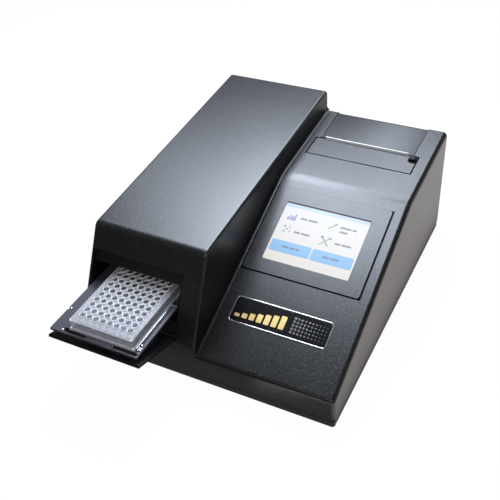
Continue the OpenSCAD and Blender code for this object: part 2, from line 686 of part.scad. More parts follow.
// ---------------------------------------------------------------- carrier and plate
carrier_y = -carrier_out;
plate_x = carrier_x + 22;
plate_y = carrier_y + 6.6;
plate_z = carrier_z - pocket_depth;
wells_x = 8;
wells_y = 12;
well_x0 = plate_x + (plate_w - (wells_x - 1) * well_pitch) / 2;
well_y0 = plate_y + (plate_l - (wells_y - 1) * well_pitch) / 2;
rod_x = [carrier_x + 7.5, carrier_x + carrier_w - 7];
bush_half = 6.8;
bush_l = 12;
bush_y = [carrier_y + carrier_l - 37, carrier_y + carrier_l - 15];
skid_drop = 1.5;                // how far the skid for the flap hangs under the carrier

module carrier_plate() place() color([0.10, 0.10, 0.11])
    difference() {
        union() {
            span([carrier_x, carrier_y, carrier_z - carrier_t],
                [carrier_x + carrier_w, carrier_y + carrier_l, carrier_z]);
            // skid that the flap leans towards
            span([flap_mid - 12, carrier_y + 3, carrier_z - carrier_t - skid_drop],
                [flap_mid + 12, carrier_y + 8, carrier_z - carrier_t + 0.1]);
        }
        // pocket for the plate and the light window under its wells
        span([plate_x - 0.4, plate_y - 0.4, plate_z], [plate_x + plate_w + 0.4, plate_y + plate_l + 0.4, carrier_z + cut]);
        span([plate_x + 4, plate_y + 8, carrier_z - carrier_t - cut],
            [plate_x + plate_w - 4, plate_y + plate_l - 8, carrier_z + cut]);
        // finger slots in front of the plate
        for (x = [[15, 46.5], [82.5, carrier_w - 1.5]])
            span([carrier_x + x[0], carrier_y + 2, carrier_z - carrier_t - cut],
                [carrier_x + x[1], carrier_y + 6, carrier_z + cut]);
        // notch in the left edge
        bar_z(1.6, carrier_z - carrier_t - cut, carrier_z + cut, carrier_x, carrier_y + 34);
        for (x = pin_places) bar_z(1.5, carrier_z - carrier_t - cut, carrier_z + cut, x[0], x[1]);
    }

pin_places = [[plate_x - 3.2, plate_y + 1], [plate_x - 3.2, plate_y + plate_l - 16],
    [plate_x + 20, plate_y + plate_l + 3.2], [plate_x + plate_w - 20, plate_y + plate_l + 3.2]];
module locating_pins() place() color("silver")
    for (p = pin_places) {
        bar_z(1.45, carrier_z - carrier_t, carrier_z + 0.1, p[0], p[1]);
        bar_z(2.5, carrier_z, carrier_z + 2.5, p[0], p[1]);
    }

module carrier_bushes() place() color([0.75, 0.65, 0.4])
    for (x = rod_x, y = bush_y)
        difference() {
            span([x - bush_half, y, rod_z - rod_r - 4], [x + bush_half, y + bush_l, carrier_z - carrier_t]);
            bar_y(rod_r + run_fit, y - cut, y + bush_l + cut, x, rod_z);
        }

clamp_x = plate_x + plate_w + 1.2;
module plate_clamp() place() color("silver") {
    span([clamp_x, plate_y + 2, carrier_z], [clamp_x + 1.2, plate_y + 84, carrier_z + 4]);
    for (y = [plate_y + 3, plate_y + 78])
        span([clamp_x + 1.1, y, carrier_z], [clamp_x + 4.5, y + 5, carrier_z + 1]);
}

module microplate() place() color([0.9, 0.93, 0.96, 0.6]) {
    shell = 1.1;
    well_out = well_r + well_wall;
    foot = [plate_w, plate_l];
    body = foot - 2 * [plate_inset, plate_inset];
    translate([plate_x, plate_y, plate_z]) difference() {
        union() {
            difference() {
                union() {
                    linear_extrude(flange_h) round_rect(foot[0], foot[1], 3);
                    translate([plate_inset, plate_inset, 0]) linear_extrude(plate_h) round_rect(body[0], body[1], 3);
                }
                translate([plate_inset + shell, plate_inset + shell, -cut])
                    linear_extrude(plate_h - shell + cut) round_rect(body[0] - 2 * shell, body[1] - 2 * shell, 2);
            }
            for (i = [0 : wells_x - 1], j = [0 : wells_y - 1])
                translate([well_x0 - plate_x + well_pitch * i, well_y0 - plate_y + well_pitch * j, plate_h - well_depth - 1])
                    cylinder(r = well_out, h = well_depth + 0.5, $fn = 24);
        }
        for (i = [0 : wells_x - 1], j = [0 : wells_y - 1])
            translate([well_x0 - plate_x + well_pitch * i, well_y0 - plate_y + well_pitch * j, plate_h - well_depth])
                cylinder(r = well_r, h = well_depth + cut, $fn = 24);
    }
}

// ---------------------------------------------------------------- carrier drive
rod_y0 = 36;
rod_y1 = carrier_y + carrier_l + travel + 7;
module guide_rods() place() color("silver")
    for (x = rod_x) bar_y(rod_r, rod_y0, rod_y1, x, rod_z);
module rod_brackets() place() color([0.4, 0.4, 0.42])
    for (x = rod_x, y = [rod_y0 + 0.5, rod_y1 - 6.5])
        difference() {
            span([x - 7, y, floor_t], [x + 7, y + 6, rod_z + rod_r + 4]);
            bar_y(rod_r + run_fit, y - cut, y + 6 + cut, x, rod_z);
        }

belt_x = carrier_x + carrier_w + 12;
belt_front = 42;
belt_rear = 312;
belt_z = 58;
belt_out = pulley_r + belt_t / 2;
belt_in = pulley_r - belt_t / 2;
module belt_loop(r) {
    translate([-r, 0]) square([2 * r, belt_rear - belt_front]);
    for (y = [0, belt_rear - belt_front]) translate([0, y]) circle(r);
}
module drive_belt() place() color([0.05, 0.05, 0.05])
    translate([belt_x, belt_front, belt_z]) linear_extrude(belt_w)
        difference() {
            belt_loop(belt_out);
            belt_loop(belt_in);
        }
pulley_gap = 0.1;
module pulley(y) {
    for (z = [belt_z - 1.6, belt_z + belt_w + 0.4]) bar_z(belt_out + 1, z, z + 1.2, belt_x, y);
    bar_z(belt_in - pulley_gap, belt_z - 0.5, belt_z + belt_w + 0.5, belt_x, y);
}
motor_top = belt_z - 10;
module drive_pulley() place() color([0.7, 0.7, 0.72]) {
    pulley(belt_rear);
    bar_z(2.5, motor_top - 8, belt_z, belt_x, belt_rear);
}
module idler_pulley() place() color([0.7, 0.7, 0.72])
    difference() {
        pulley(belt_front);
        bar_z(2 + run_fit, belt_z - 4, belt_z + belt_w + 4, belt_x, belt_front);
    }
module idler_post() place() color([0.4, 0.4, 0.42]) {
    bar_z(5, floor_t, belt_z - 2, belt_x, belt_front);
    bar_z(2, belt_z - 2.5, belt_z + belt_w + 3, belt_x, belt_front);
}
module drive_motor() place() color([0.25, 0.25, 0.27])
    difference() {
        union() {
            span([belt_x - motor_side / 2, belt_rear - motor_side / 2, motor_top - motor_h],
                [belt_x + motor_side / 2, belt_rear + motor_side / 2, motor_top - 2]);
            bar_z(11, motor_top - 3, motor_top, belt_x, belt_rear);
        }
        bar_z(2.5 + run_fit, motor_top - 9, motor_top + cut, belt_x, belt_rear);
    }
module motor_bracket() place() color([0.55, 0.56, 0.58])
    difference() {
        union() {
            span([belt_x - 25, belt_rear - 22, motor_top - 2], [belt_x + 25, belt_rear + 26, motor_top]);
            span([belt_x - 25, belt_rear + 23, floor_t], [belt_x + 25, belt_rear + 26, motor_top]);
        }
        bar_z(11.2, motor_top - 3, motor_top + cut, belt_x, belt_rear);
    }

module belt_clamp() place() color([0.2, 0.2, 0.2]) {
    run_x = belt_x - pulley_r;
    y0 = carrier_y + carrier_l - 34;
    top = carrier_z - carrier_t;
    difference() {
        span([carrier_x + carrier_w - 0.2, y0, belt_z - 2], [run_x + 3, y0 + 16, carrier_z]);
        span([run_x - belt_t / 2 - 0.3, y0 - cut, belt_z - 3], [run_x + belt_t / 2 + 0.3, y0 + 17, belt_z + belt_w + 0.4]);
        span([carrier_x + carrier_w - cut, y0 - cut, top - 1], [carrier_x + carrier_w + 0.01, y0 + 17, carrier_z + cut]);
        span([carrier_x + carrier_w - cut, y0 - cut, belt_z - 3], [carrier_x + carrier_w + 1, y0 + 17, top]);
    }
}

// ---------------------------------------------------------------- optics
bridge_z = 118;
upright_x = tower_w - wall - 6.5;
optics_y0 = beam_y - 40;
optics_y1 = beam_y + 40;
module optics_bracket() place() color([0.6, 0.61, 0.63])
    difference() {
        union() {
            span([upright_x, optics_y0, floor_t], [upright_x + bracket_t, optics_y1, bridge_z + bracket_t]);
            span([well_x0 - 14, optics_y0, bridge_z], [upright_x + bracket_t, optics_y1, bridge_z + bracket_t]);
            span([upright_x - 8, optics_y0, floor_t], [upright_x + 0.1, optics_y1, floor_t + 3]);
        }
        for (i = [0 : wells_x - 1]) bar_z(2.5, bridge_z - cut, bridge_z + bracket_t + cut, well_x0 + well_pitch * i, beam_y);
    }
module lens_block() place() color([0.12, 0.12, 0.13])
    difference() {
        span([well_x0 - 6, beam_y - 8, bridge_z - 12], [well_x0 + 7 * well_pitch + 6, beam_y + 8, bridge_z]);
        for (i = [0 : wells_x - 1]) bar_z(2.5, bridge_z - 12 - cut, bridge_z + cut, well_x0 + well_pitch * i, beam_y);
    }
module lenses() place() color([0.8, 0.9, 1, 0.5])
    for (i = [0 : wells_x - 1]) bar_z(2.45, bridge_z - 11, bridge_z - 9, well_x0 + well_pitch * i, beam_y);

beam_x = 74;
beam_z = 126;
wheel_y = 284;
wheel_x = beam_x + 21;
module light_guide() place() color([0.05, 0.05, 0.05]) {
    span([well_x0 - 6, beam_y - 8, bridge_z + bracket_t], [well_x0 + 7 * well_pitch + 6, beam_y + 10, bridge_z + 13]);
    hull() {
        span([well_x0 - 3, beam_y + 9, bridge_z + bracket_t + 1.5], [well_x0 + 7 * well_pitch + 3, beam_y + 10, bridge_z + 11]);
        bar_y(5, wheel_y - 40, wheel_y - 30, beam_x, beam_z);
    }
    bar_y(6, wheel_y - 31, wheel_y - 1.5, beam_x, beam_z);
}
bracket_y = wheel_y + wheel_t + 4;
module wheel_bracket() place() color([0.6, 0.61, 0.63])
    difference() {
        union() {
            span([rod_x[0] + 9, bracket_y, floor_t], [rod_x[1] - 9, bracket_y + 3, beam_z + 24]);
            span([rod_x[0] + 9, bracket_y, floor_t], [rod_x[1] - 9, bracket_y + 20, floor_t + 3]);
            // arm that carries the light guide over the wheel
            span([beam_x - 12, wheel_y - 24, beam_z + wheel_r + 4.5], [beam_x + 12, bracket_y + 3, beam_z + wheel_r + 7.5]);
            span([beam_x - 8, bracket_y, beam_z + 20], [beam_x + 8, bracket_y + 3, beam_z + wheel_r + 7]);
            span([beam_x - 12, wheel_y - 24, beam_z - 10], [beam_x + 12, wheel_y - 21, beam_z + wheel_r + 7.5]);
        }
        bar_y(6 + 0.1, wheel_y - 26, wheel_y - 20, beam_x, beam_z);
        bar_y(6.6, bracket_y - cut, bracket_y + 4, beam_x, beam_z);
        bar_y(2.5 + 0.4, bracket_y - cut, bracket_y + 4, wheel_x, beam_z);
    }
module filter_places(r) {
    for (i = [0 : filters - 1]) translate([wheel_x, 0, beam_z]) rotate([0, 360 / filters * i, 0])
        translate([-21, wheel_y - cut, 0]) rotate([-90, 0, 0]) cylinder(r = r, h = wheel_t + 2 * cut);
}
module filter_wheel() place() color([0.2, 0.2, 0.22])
    difference() {
        union() {
            bar_y(wheel_r, wheel_y, wheel_y + wheel_t, wheel_x, beam_z);
            bar_y(6, wheel_y - 2, wheel_y + wheel_t + 2, wheel_x, beam_z);
            bar_y(2.5, wheel_y, bracket_y + 10, wheel_x, beam_z);
        }
        filter_places(filter_r);
        // index slot at the rim
        translate([wheel_x - 1, wheel_y - cut, beam_z + wheel_r - 2]) cube([2, wheel_t + 2 * cut, 4]);
    }
module filter_set() place() color([0.8, 0.5, 0.3])
    intersection() {
        filter_places(filter_r);
        span([0, wheel_y + 0.5, 0], [tower_w, wheel_y + wheel_t - 0.5, tower_h]);
    }
module wheel_motor() place() color([0.3, 0.3, 0.32])
    difference() {
        bar_y(13.5, bracket_y + 3, bracket_y + 28, wheel_x, beam_z);
        bar_y(2.5 + run_fit, bracket_y, bracket_y + 12, wheel_x, beam_z);
    }
lamp_y = bracket_y + 34;
module lamp_housing() place() color([0.62, 0.63, 0.65]) {
    difference() {
        span([beam_x - 26, lamp_y, beam_z - 24], [beam_x + 26, lamp_y + 40, beam_z + 24]);
        bar_y(16, lamp_y + 4, lamp_y + 42, beam_x, beam_z);
        bar_y(5, lamp_y - cut, lamp_y + 6, beam_x, beam_z);
        // cooling fins
        for (i = [0 : 5], s = [-1, 1]) translate([beam_x + s * 22.5 - 4, lamp_y + 4 + 6 * i, beam_z - 25]) cube([8, 3, 50]);
    }
    difference() {
        bar_y(6.4, bracket_y, lamp_y, beam_x, beam_z);
        bar_y(5, bracket_y - cut, lamp_y + cut, beam_x, beam_z);
    }
    for (x = [beam_x - 18, beam_x + 18]) bar_z(4, floor_t, beam_z - 24, x, lamp_y + 20);
}
module lamp() place() color([0.95, 0.95, 0.85]) {
    bar_y(6, lamp_y + 14, lamp_y + 30, beam_x, beam_z);
    bar_y(15.8, lamp_y + 30, lamp_y + 36, beam_x, beam_z);
}
detector_z = 70;
module detector_board() place() color([0.1, 0.4, 0.2]) {
    span([well_x0 - 3, beam_y - 16, detector_z], [well_x0 + 7 * well_pitch + 3, beam_y + 16, detector_z + 1.6]);
    for (i = [0 : wells_x - 1]) bar_z(2.6, detector_z + 1.5, detector_z + 6, well_x0 + well_pitch * i, beam_y);
}

// ---------------------------------------------------------------- electronics
main_board_z = 10;
main_board = [[172, 60], [308, 200]];
module main_board() place() color([0.1, 0.4, 0.2]) {
    b = main_board;
    span([b[0][0], b[0][1], main_board_z], [b[1][0], b[1][1], main_board_z + 1.6]);
    for (p = [[20, 20, 30, 30, 3], [70, 30, 22, 22, 3], [30, 80, 40, 14, 8], [100, 90, 18, 30, 12], [90, 20, 30, 8, 9]])
        translate([b[0][0] + p[0], b[0][1] + p[1], main_board_z + 1.5]) cube([p[2], p[3], p[4]]);
}
supply = [[216, 296], [308, 372]];
module power_supply() place() color([0.5, 0.52, 0.5]) {
    s = supply;
    span([s[0][0], s[0][1], main_board_z], [s[1][0], s[1][1], main_board_z + 1.6]);
    translate([s[0][0] + 8, s[0][1] + 14, main_board_z + 1.5]) cube([34, 40, 28]);
    for (y = [14, 40]) translate([s[0][0] + 62, s[0][1] + y, main_board_z + 1.5]) cylinder(r = 9, h = 30);
}
post_r = 3;
module board_posts() place() color("silver") {
    for (b = [main_board, supply], i = [0, 1], j = [0, 1])
        bar_z(post_r, floor_t, main_board_z, b[i][0] + (i == 0 ? 5 : -5), b[j][1] + (j == 0 ? 5 : -5));
    for (x = [well_x0 + 1, well_x0 + 7 * well_pitch - 1], y = [beam_y - 12, beam_y + 12])
        bar_z(post_r, floor_t, detector_z, x, y);
}

// ---------------------------------------------------------------- rear connectors
port_z = (seam_h + step_low) / 2;
inlet_x = 276;
switch_x = 244;
usb_x = [60, 84];
serial_x = 122;
module power_inlet() place() color([0.04, 0.04, 0.04])
    difference() {
        union() {
            span([inlet_x - 16, rear_y, port_z - 12], [inlet_x + 16, rear_y + 2, port_z + 12]);
            span([inlet_x - 13.5, rear_y - 16, port_z - 9.8], [inlet_x + 13.5, rear_y + 0.1, port_z + 9.8]);
        }
        translate([inlet_x, rear_y + 2 + cut, port_z]) rotate([90, 0, 0]) linear_extrude(14)
            polygon([[-12, -8], [12, -8], [12, 4], [8, 8], [-8, 8], [-12, 4]]);
    }
rocker_y = rear_y - 1;
module switch_body() place() color([0.04, 0.04, 0.04])
    difference() {
        union() {
            span([switch_x - 11.5, rear_y, port_z - 12.5], [switch_x + 11.5, rear_y + 1.5, port_z + 12.5]);
            span([switch_x - 9.4, rear_y - 14, port_z - 10.4], [switch_x + 9.4, rear_y + 0.1, port_z + 10.4]);
        }
        span([switch_x - 7.5, rear_y - 8, port_z - 9], [switch_x + 7.5, rear_y + 3, port_z + 9]);
    }
rocker_tilt = 7;
module power_rocker() place() color([0.02, 0.02, 0.02])
    translate([switch_x, rocker_y, port_z]) rotate([rocker_tilt, 0, 0])
        intersection() {
            span([-7.2, -4, -8], [7.2, 4, 8]);
            difference() {
                bar_x(8.2, -7.2, 7.2, 0, 0);
                bar_x(14, -8, 8, 16, 0);
            }
        }
module data_ports() place() color("silver") {
    for (x = usb_x) difference() {
        span([x - 6.6, rear_y - 13, port_z - 2.9], [x + 6.6, rear_y + 1, port_z + 2.9]);
        span([x - 6, rear_y - 8, port_z - 2.3], [x + 6, rear_y + 2, port_z + 2.3]);
    }
    difference() {
        union() {
            span([serial_x - 15.4, rear_y, port_z - 6.2], [serial_x + 15.4, rear_y + 0.8, port_z + 6.2]);
            span([serial_x - 8.7, rear_y - 10, port_z - 4.9], [serial_x + 8.7, rear_y + 5, port_z + 4.9]);
        }
        translate([serial_x, rear_y + 5 + cut, port_z]) rotate([90, 0, 0]) linear_extrude(7)
            polygon([[-8, 4], [8, 4], [7, -4], [-7, -4]]);
    }
    for (s = [-1, 1]) bar_y(1.6, rear_y - 6, rear_y + 4, serial_x + s * 12.5, port_z);
}

cover();
flap_frame();
screen_frame();
base_pan();
rear_panel();
feet();
case_screws();
flap();
flap_pin();
flap_spring();
screen_bezel();
touch_panel();
lcd_module();
badge_rim();
badge_plate();
printer_tub();
tear_panel();
print_head();
roll_spindle();
paper_roll();
paper_strip();
feed_motor();
feed_gear();
printer_lid();
lid_pin();
platen_roller();
platen_gear();
release_button();
carrier_plate();
carrier_bushes();
plate_clamp();
locating_pins();
belt_clamp();
microplate();
guide_rods();
rod_brackets();
drive_belt();
drive_pulley();
idler_pulley();
drive_motor();
motor_bracket();
idler_post();
optics_bracket();
lens_block();
lenses();
light_guide();
wheel_bracket();
filter_wheel();
filter_set();
wheel_motor();
lamp_housing();
lamp();
detector_board();
main_board();
power_supply();
board_posts();
power_inlet();
switch_body();
power_rocker();
data_ports();
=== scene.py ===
import json
import math

import bmesh
import bpy
from mathutils import Matrix, Vector

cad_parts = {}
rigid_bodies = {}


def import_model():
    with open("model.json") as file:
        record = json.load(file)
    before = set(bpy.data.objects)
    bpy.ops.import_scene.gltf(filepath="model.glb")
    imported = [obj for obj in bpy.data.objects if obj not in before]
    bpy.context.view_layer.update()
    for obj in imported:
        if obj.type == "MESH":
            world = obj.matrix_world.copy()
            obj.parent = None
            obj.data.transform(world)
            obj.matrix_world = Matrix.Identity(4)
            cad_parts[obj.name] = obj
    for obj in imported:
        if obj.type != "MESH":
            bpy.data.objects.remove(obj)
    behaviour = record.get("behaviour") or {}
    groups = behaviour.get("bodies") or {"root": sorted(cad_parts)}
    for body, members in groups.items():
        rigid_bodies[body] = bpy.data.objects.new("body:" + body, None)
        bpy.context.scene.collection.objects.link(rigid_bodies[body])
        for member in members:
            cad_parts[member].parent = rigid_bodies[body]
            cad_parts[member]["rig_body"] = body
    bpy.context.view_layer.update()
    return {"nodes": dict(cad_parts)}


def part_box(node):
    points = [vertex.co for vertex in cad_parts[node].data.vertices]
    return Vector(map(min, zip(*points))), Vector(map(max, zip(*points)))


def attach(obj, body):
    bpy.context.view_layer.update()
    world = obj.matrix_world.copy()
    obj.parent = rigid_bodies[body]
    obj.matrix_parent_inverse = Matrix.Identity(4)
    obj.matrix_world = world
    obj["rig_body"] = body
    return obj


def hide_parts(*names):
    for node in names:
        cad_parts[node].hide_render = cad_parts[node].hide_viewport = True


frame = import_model()
scene = bpy.context.scene

# ---------------------------------------------------------------- camera
# The reader stands on a bench and is seen from its front right, from above.
sight = Vector((-0.022479, 0.009092, 0.063))
distance = 0.989715
heading = math.radians(-29.425)
height = math.radians(39.299)
roll = math.radians(-4.399)
level = math.cos(height)
forward = Vector((math.sin(heading) * level, math.cos(heading) * level, -math.sin(height)))
level_right = Vector((math.cos(heading), -math.sin(heading), 0))
level_up = level_right.cross(forward)
right = math.cos(roll) * level_right + math.sin(roll) * level_up
up = math.cos(roll) * level_up - math.sin(roll) * level_right
lens = bpy.data.cameras.new("bench_camera")
lens.sensor_width = 36
lens.lens = 55.97
camera = bpy.data.objects.new("bench_camera", lens)
turn = Matrix((right, up, -forward)).transposed().to_4x4()
camera.matrix_world = Matrix.Translation(sight - distance * forward) @ turn
scene.collection.objects.link(camera)
scene.camera = camera

# ---------------------------------------------------------------- studio
# A pale bench top under four soft lights, which hang over the slope, the tower,
# the left side and the printer deck, with a wide one farther off in front. Dark
# and bright fields painted on the bench for glossy rays only show as painted
# reflections in the reader's satin faces.
scene.view_settings.view_transform = "Standard"


class Strand:
    """A value in a node tree. Arithmetic on it adds Math nodes."""

    def __init__(self, net, socket):
        self.net, self.socket = net, socket

    def math(self, operation, *others, clamp=False):
        values = dict(enumerate((self,) + others))
        return self.net.node("ShaderNodeMath", {"operation": operation, "use_clamp": clamp}, values)

    def turned(self, operation, first):
        """The same operation with the number in front."""
        return self.net.node("ShaderNodeMath", {"operation": operation}, {0: first, 1: self})

    def __add__(self, other):
        return self.math("ADD", other)

    __radd__ = __add__

    def __sub__(self, other):
        return self.math("SUBTRACT", other)

    def __rsub__(self, other):
        return self.turned("SUBTRACT", other)

    def __mul__(self, other):
        return self.math("MULTIPLY", other)

    __rmul__ = __mul__

    def __truediv__(self, other):
        return self.math("DIVIDE", other)

    def __rtruediv__(self, other):
        return self.turned("DIVIDE", other)

    def __abs__(self):
        return self.math("ABSOLUTE")

    def at_least(self, other):
        return self.math("MAXIMUM", other)

    def clamped(self):
        return self.math("ADD", 0.0, clamp=True)

    def past(self, line, fade):
        """0 before a line and 1 beyond it. A negative fade turns the two sides round."""
        return ((self - line) / fade).clamped()


class Net:
    """The nodes of a finish, or of the room."""

    def __init__(self, tree):
        self.tree = tree
        self.tree.nodes.clear()

    def node(self, kind, settings, values, out=0):
        step = self.tree.nodes.new(kind)
        for name, value in settings.items():
            if name == "stops":
                ramp = step.color_ramp
                while len(ramp.elements) < len(value):
                    ramp.elements.new(0.5)
                for element, (position, colour) in zip(ramp.elements, value):
                    element.position = position
                    element.color = (*colour, 1)
            else:
                setattr(step, name, value)
        for name, value in values.items():
            if isinstance(value, Strand):
                self.tree.links.new(value.socket, step.inputs[name])
            else:
                step.inputs[name].default_value = value
        return Strand(self, step.outputs[out]) if step.outputs else None

    def ray(self, kind):
        """1 where a ray of this kind arrives, 0 elsewhere."""
        return self.node("ShaderNodeLightPath", {}, {}, kind)


class Paint(Net):
    """A finish: one principled shader, and the nodes that feed it."""

    def __init__(self, name, **sockets):
        self.material = bpy.data.materials.new(name)
        self.material.use_nodes = True
        super().__init__(self.material.node_tree)
        self.shader = self.tree.nodes.new("ShaderNodeBsdfPrincipled")
        self.surface = self.tree.nodes.new("ShaderNodeOutputMaterial")
        self.tree.links.new(self.shader.outputs[0], self.surface.inputs["Surface"])
        self.place = self.node("ShaderNodeTexCoord", {}, {}, "Object")
        self.set(**sockets)

    def set(self, **sockets):
        for name, value in sockets.items():
            socket = self.shader.inputs[name.replace("_", " ").title().replace("Ior", "IOR")]
            if isinstance(value, Strand):
                self.tree.links.new(value.socket, socket)
            elif isinstance(value, tuple) and len(value) == 3 and socket.type == "RGBA":
                socket.default_value = (*value, 1)
            else:
                socket.default_value = value

    def axes(self):
        return [self.node("ShaderNodeSeparateXYZ", {}, {0: self.place}, i) for i in range(3)]

    def noise(self, scale, detail=2.0, rough=0.5, place=None):
        values = {"Vector": place or self.place, "Scale": scale, "Detail": detail, "Roughness": rough}
        return self.node("ShaderNodeTexNoise", {}, values, "Fac")

    def blend(self, share, first, second):
        first, second = ((*c, 1) if isinstance(c, tuple) else c for c in (first, second))
        return self.node("ShaderNodeMix", {"data_type": "RGBA"}, {0: share, 6: first, 7: second}, 2)

    def bump(self, height, strength, distance):
        return self.node("ShaderNodeBump", {}, {"Height": height, "Strength": strength, "Distance": distance})


def area_light(name, place, aim, size, power, colour):
    light = bpy.data.lights.new(name, "AREA")
    light.shape = "RECTANGLE"
    light.size, light.size_y = size
    light.energy = power
    light.color = colour
    lamp = bpy.data.objects.new(name, light)
    lamp.location = place
    lamp.rotation_euler = (Vector(aim) - Vector(place)).to_track_quat("-Z", "Y").to_euler()
    scene.collection.objects.link(lamp)


cool_white, warm_white = (0.78, 0.86, 1.0), (1.0, 0.98, 0.96)
hang = 0.65
overhead = (
    ("slope_softbox", -0.05, 0.12, (0.34, 0.24), 3.4),
    ("tower_softbox", -0.185, 0.35, (0.2, 0.36), 5.0),
    ("left_softbox", -0.42, 0.36, (0.28, 0.28), 1.7),
    ("deck_softbox", -0.01, 0.56, (0.18, 0.36), 2.9),
)
for name, x, y, size, power in overhead:
    area_light(name, (x, y, hang), (x, y, 0), size, power, cool_white)
area_light("front_softbox", (0.5, -1.3, 1.1), (0, 0, 0.1), (1.0, 0.8), 6.0, warm_white)

# The room is white to the eye and through glass. It is a weak fill for the rest.
mirror_level, fill_level = 0.15, 0.15
room = bpy.data.worlds.new("white_room")
room.use_nodes = True
scene.world = room
air = Net(room.node_tree)
seen = air.ray("Is Camera Ray").at_least(air.ray("Is Transmission Ray"))
strength = seen.at_least(air.ray("Is Glossy Ray") * mirror_level).at_least(fill_level)
sky = air.node("ShaderNodeBackground", {}, {"Color": (1, 1, 1, 1), "Strength": strength})
air.node("ShaderNodeOutputWorld", {}, {"Surface": sky})


def new_piece(name, mesh, paints):
    piece = bpy.data.objects.new(name, mesh)
    scene.collection.objects.link(piece)
    for paint in paints:
        mesh.materials.append(paint.material)
    return piece


def finished(name, shape, paints):
    """Turns a bmesh into a piece of the scene."""
    mesh = bpy.data.meshes.new(name)
    shape.to_mesh(mesh)
    shape.free()
    return new_piece(name, mesh, paints)


# The bench is white to the eye. Glossy rays see painted reflections on it: near
# black far in front of the case and dark grey near it, a bright field to the
# right, a narrower one to the left, and a bright strip that lies askew in front
# of the console. They are laid out to put highlights and dark shades on the
# case's satin faces.
bench_paint = Paint("pale_bench", base_color=(0.86, 0.86, 0.86), roughness=0.9)
bench_x, bench_y = bench_paint.axes()[:2]
near_case = bench_y.past(-0.215, 0.02)
right_field = bench_x.past(0.16, 0.02) * bench_y.past(-0.34, 0.15)
left_field = bench_x.past(-0.165, -0.02) * bench_y.past(-0.2, 0.02) * bench_y.past(0.06, -0.03) * 0.9
# Painted highlight: a bright strip on the bench, seen only in reflections, that lights the tower's front
# right edge.
highlight_x, highlight_y = bench_x + 0.007, bench_y + 0.1634
way_x, way_y = 0.871, -0.491
highlight_run = highlight_x * way_x + highlight_y * way_y
highlight_side = abs(highlight_y * way_x - highlight_x * way_y)
painted_highlight_strip = highlight_side.past(0.02, -0.01) * highlight_run.past(0.06, 0.09) * highlight_run.past(0.24, -0.02)
fields = (
    (near_case, (0.26, 0.235, 0.23)),
    (right_field, (1.08, 1.03, 1.0)),
    (left_field, (0.9, 0.9, 0.9)),
    (painted_highlight_strip, (4.5, 4.5, 4.5)),
)
shown = (0.012, 0.012, 0.012)
for field, colour in fields:
    shown = bench_paint.blend(field, shown, colour)
mirrored_share, seen_share, glow_level = 0.9, 0.955, 1.02
mirrored = bench_paint.ray("Is Glossy Ray")
hue = bench_paint.blend(mirrored, (1.0, 1.0, 1.0), shown)
glow = bench_paint.node("ShaderNodeEmission", {}, {"Color": hue, "Strength": glow_level})
share = (mirrored * mirrored_share).at_least(bench_paint.ray("Is Camera Ray") * seen_share)
plain = Strand(bench_paint, bench_paint.shader.outputs[0])
look = bench_paint.node("ShaderNodeMixShader", {}, {0: share, 1: plain, 2: glow})
bench_paint.tree.links.new(look.socket, bench_paint.surface.inputs["Surface"])
top = bmesh.new()
bmesh.ops.create_grid(top, x_segments=1, y_segments=1, size=6)
bmesh.ops.translate(top, vec=(0, 0, -0.0002), verts=top.verts)
finished("bench_top", top, [bench_paint])

# ---------------------------------------------------------------- moulded cover
# One shell of black structured plastic, tower and console together. Its fine
# spark-eroded texture takes a soft grey sheen from the light above.


def textured_plastic(name, colour, roughness, grain=0.08, speck=0.35, ior=1.5):
    """Moulded plastic with fine pores, paler specks and slow clouds in its sheen."""
    paint = Paint(name, ior=ior)
    pores = paint.noise(1150, 3.0, 0.62)
    specks = ((paint.noise(560, 2.0, 0.6) - 0.53) * 6).clamped()
    clouds = paint.noise(9, 3.0, 0.5)
    relief = pores * 0.4 + specks * 0.5
    dark = tuple(c * max(0.05, 1 - speck) for c in colour)
    light = tuple(c * (1 + speck) for c in colour)
    tone = paint.blend(specks, dark, light)
    paint.set(base_color=paint.blend(clouds * 0.3, tone, colour),
              roughness=roughness + (clouds - 0.5) * 0.05 + (pores - 0.5) * 0.08,
              normal=paint.bump(relief, grain, 0.0004))
    return paint


def creased(shell, angle):
    """Smooths a shell, and keeps a crease where two faces meet at more than an angle in degrees."""
    for face in shell.faces:
        face.smooth = True
    for edge in shell.edges:
        edge.smooth = len(edge.link_faces) == 2 and edge.calc_face_angle(0) < math.radians(angle)


def settled(piece):
    """Weights the piece's normals by the size of its faces and keeps the result as its mesh."""
    even = piece.modifiers.new("even_light", "WEIGHTED_NORMAL")
    even.keep_sharp = True
    even.weight = 80
    bpy.context.view_layer.update()
    evaluated = piece.evaluated_get(bpy.context.evaluated_depsgraph_get())
    shaped = bpy.data.meshes.new_from_object(evaluated)
    shaped.name = piece.name
    piece.modifiers.clear()
    piece.data = shaped
    return piece


def cast_of(node, name, paints, radius=0.0, crease=34, rings=2):
    """A merged copy of a solid, with a small radius worked along the edges sharper than crease."""
    mesh = frame["nodes"][node].data.copy()
    if "custom_normal" in mesh.attributes:
        mesh.attributes.remove(mesh.attributes["custom_normal"])
    mesh.materials.clear()
    shell = bmesh.new()
    shell.from_mesh(mesh)
    bmesh.ops.remove_doubles(shell, verts=shell.verts, dist=1e-6)
    bmesh.ops.dissolve_limit(shell, angle_limit=math.radians(0.4), verts=shell.verts, edges=shell.edges)
    if radius:
        sharp = math.radians(crease)
        rims = [e for e in shell.edges if len(e.link_faces) == 2 and e.calc_face_angle(0) > sharp]
        bmesh.ops.bevel(shell, geom=rims, offset=radius, offset_type="OFFSET", segments=rings, profile=0.5,
                        affect="EDGES", clamp_overlap=True, material=-1)
    creased(shell, crease)
    shell.to_mesh(mesh)
    shell.free()
    piece = settled(new_piece(name, mesh, paints))
    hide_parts(node)
    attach(piece, frame["nodes"][node]["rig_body"])
    return piece


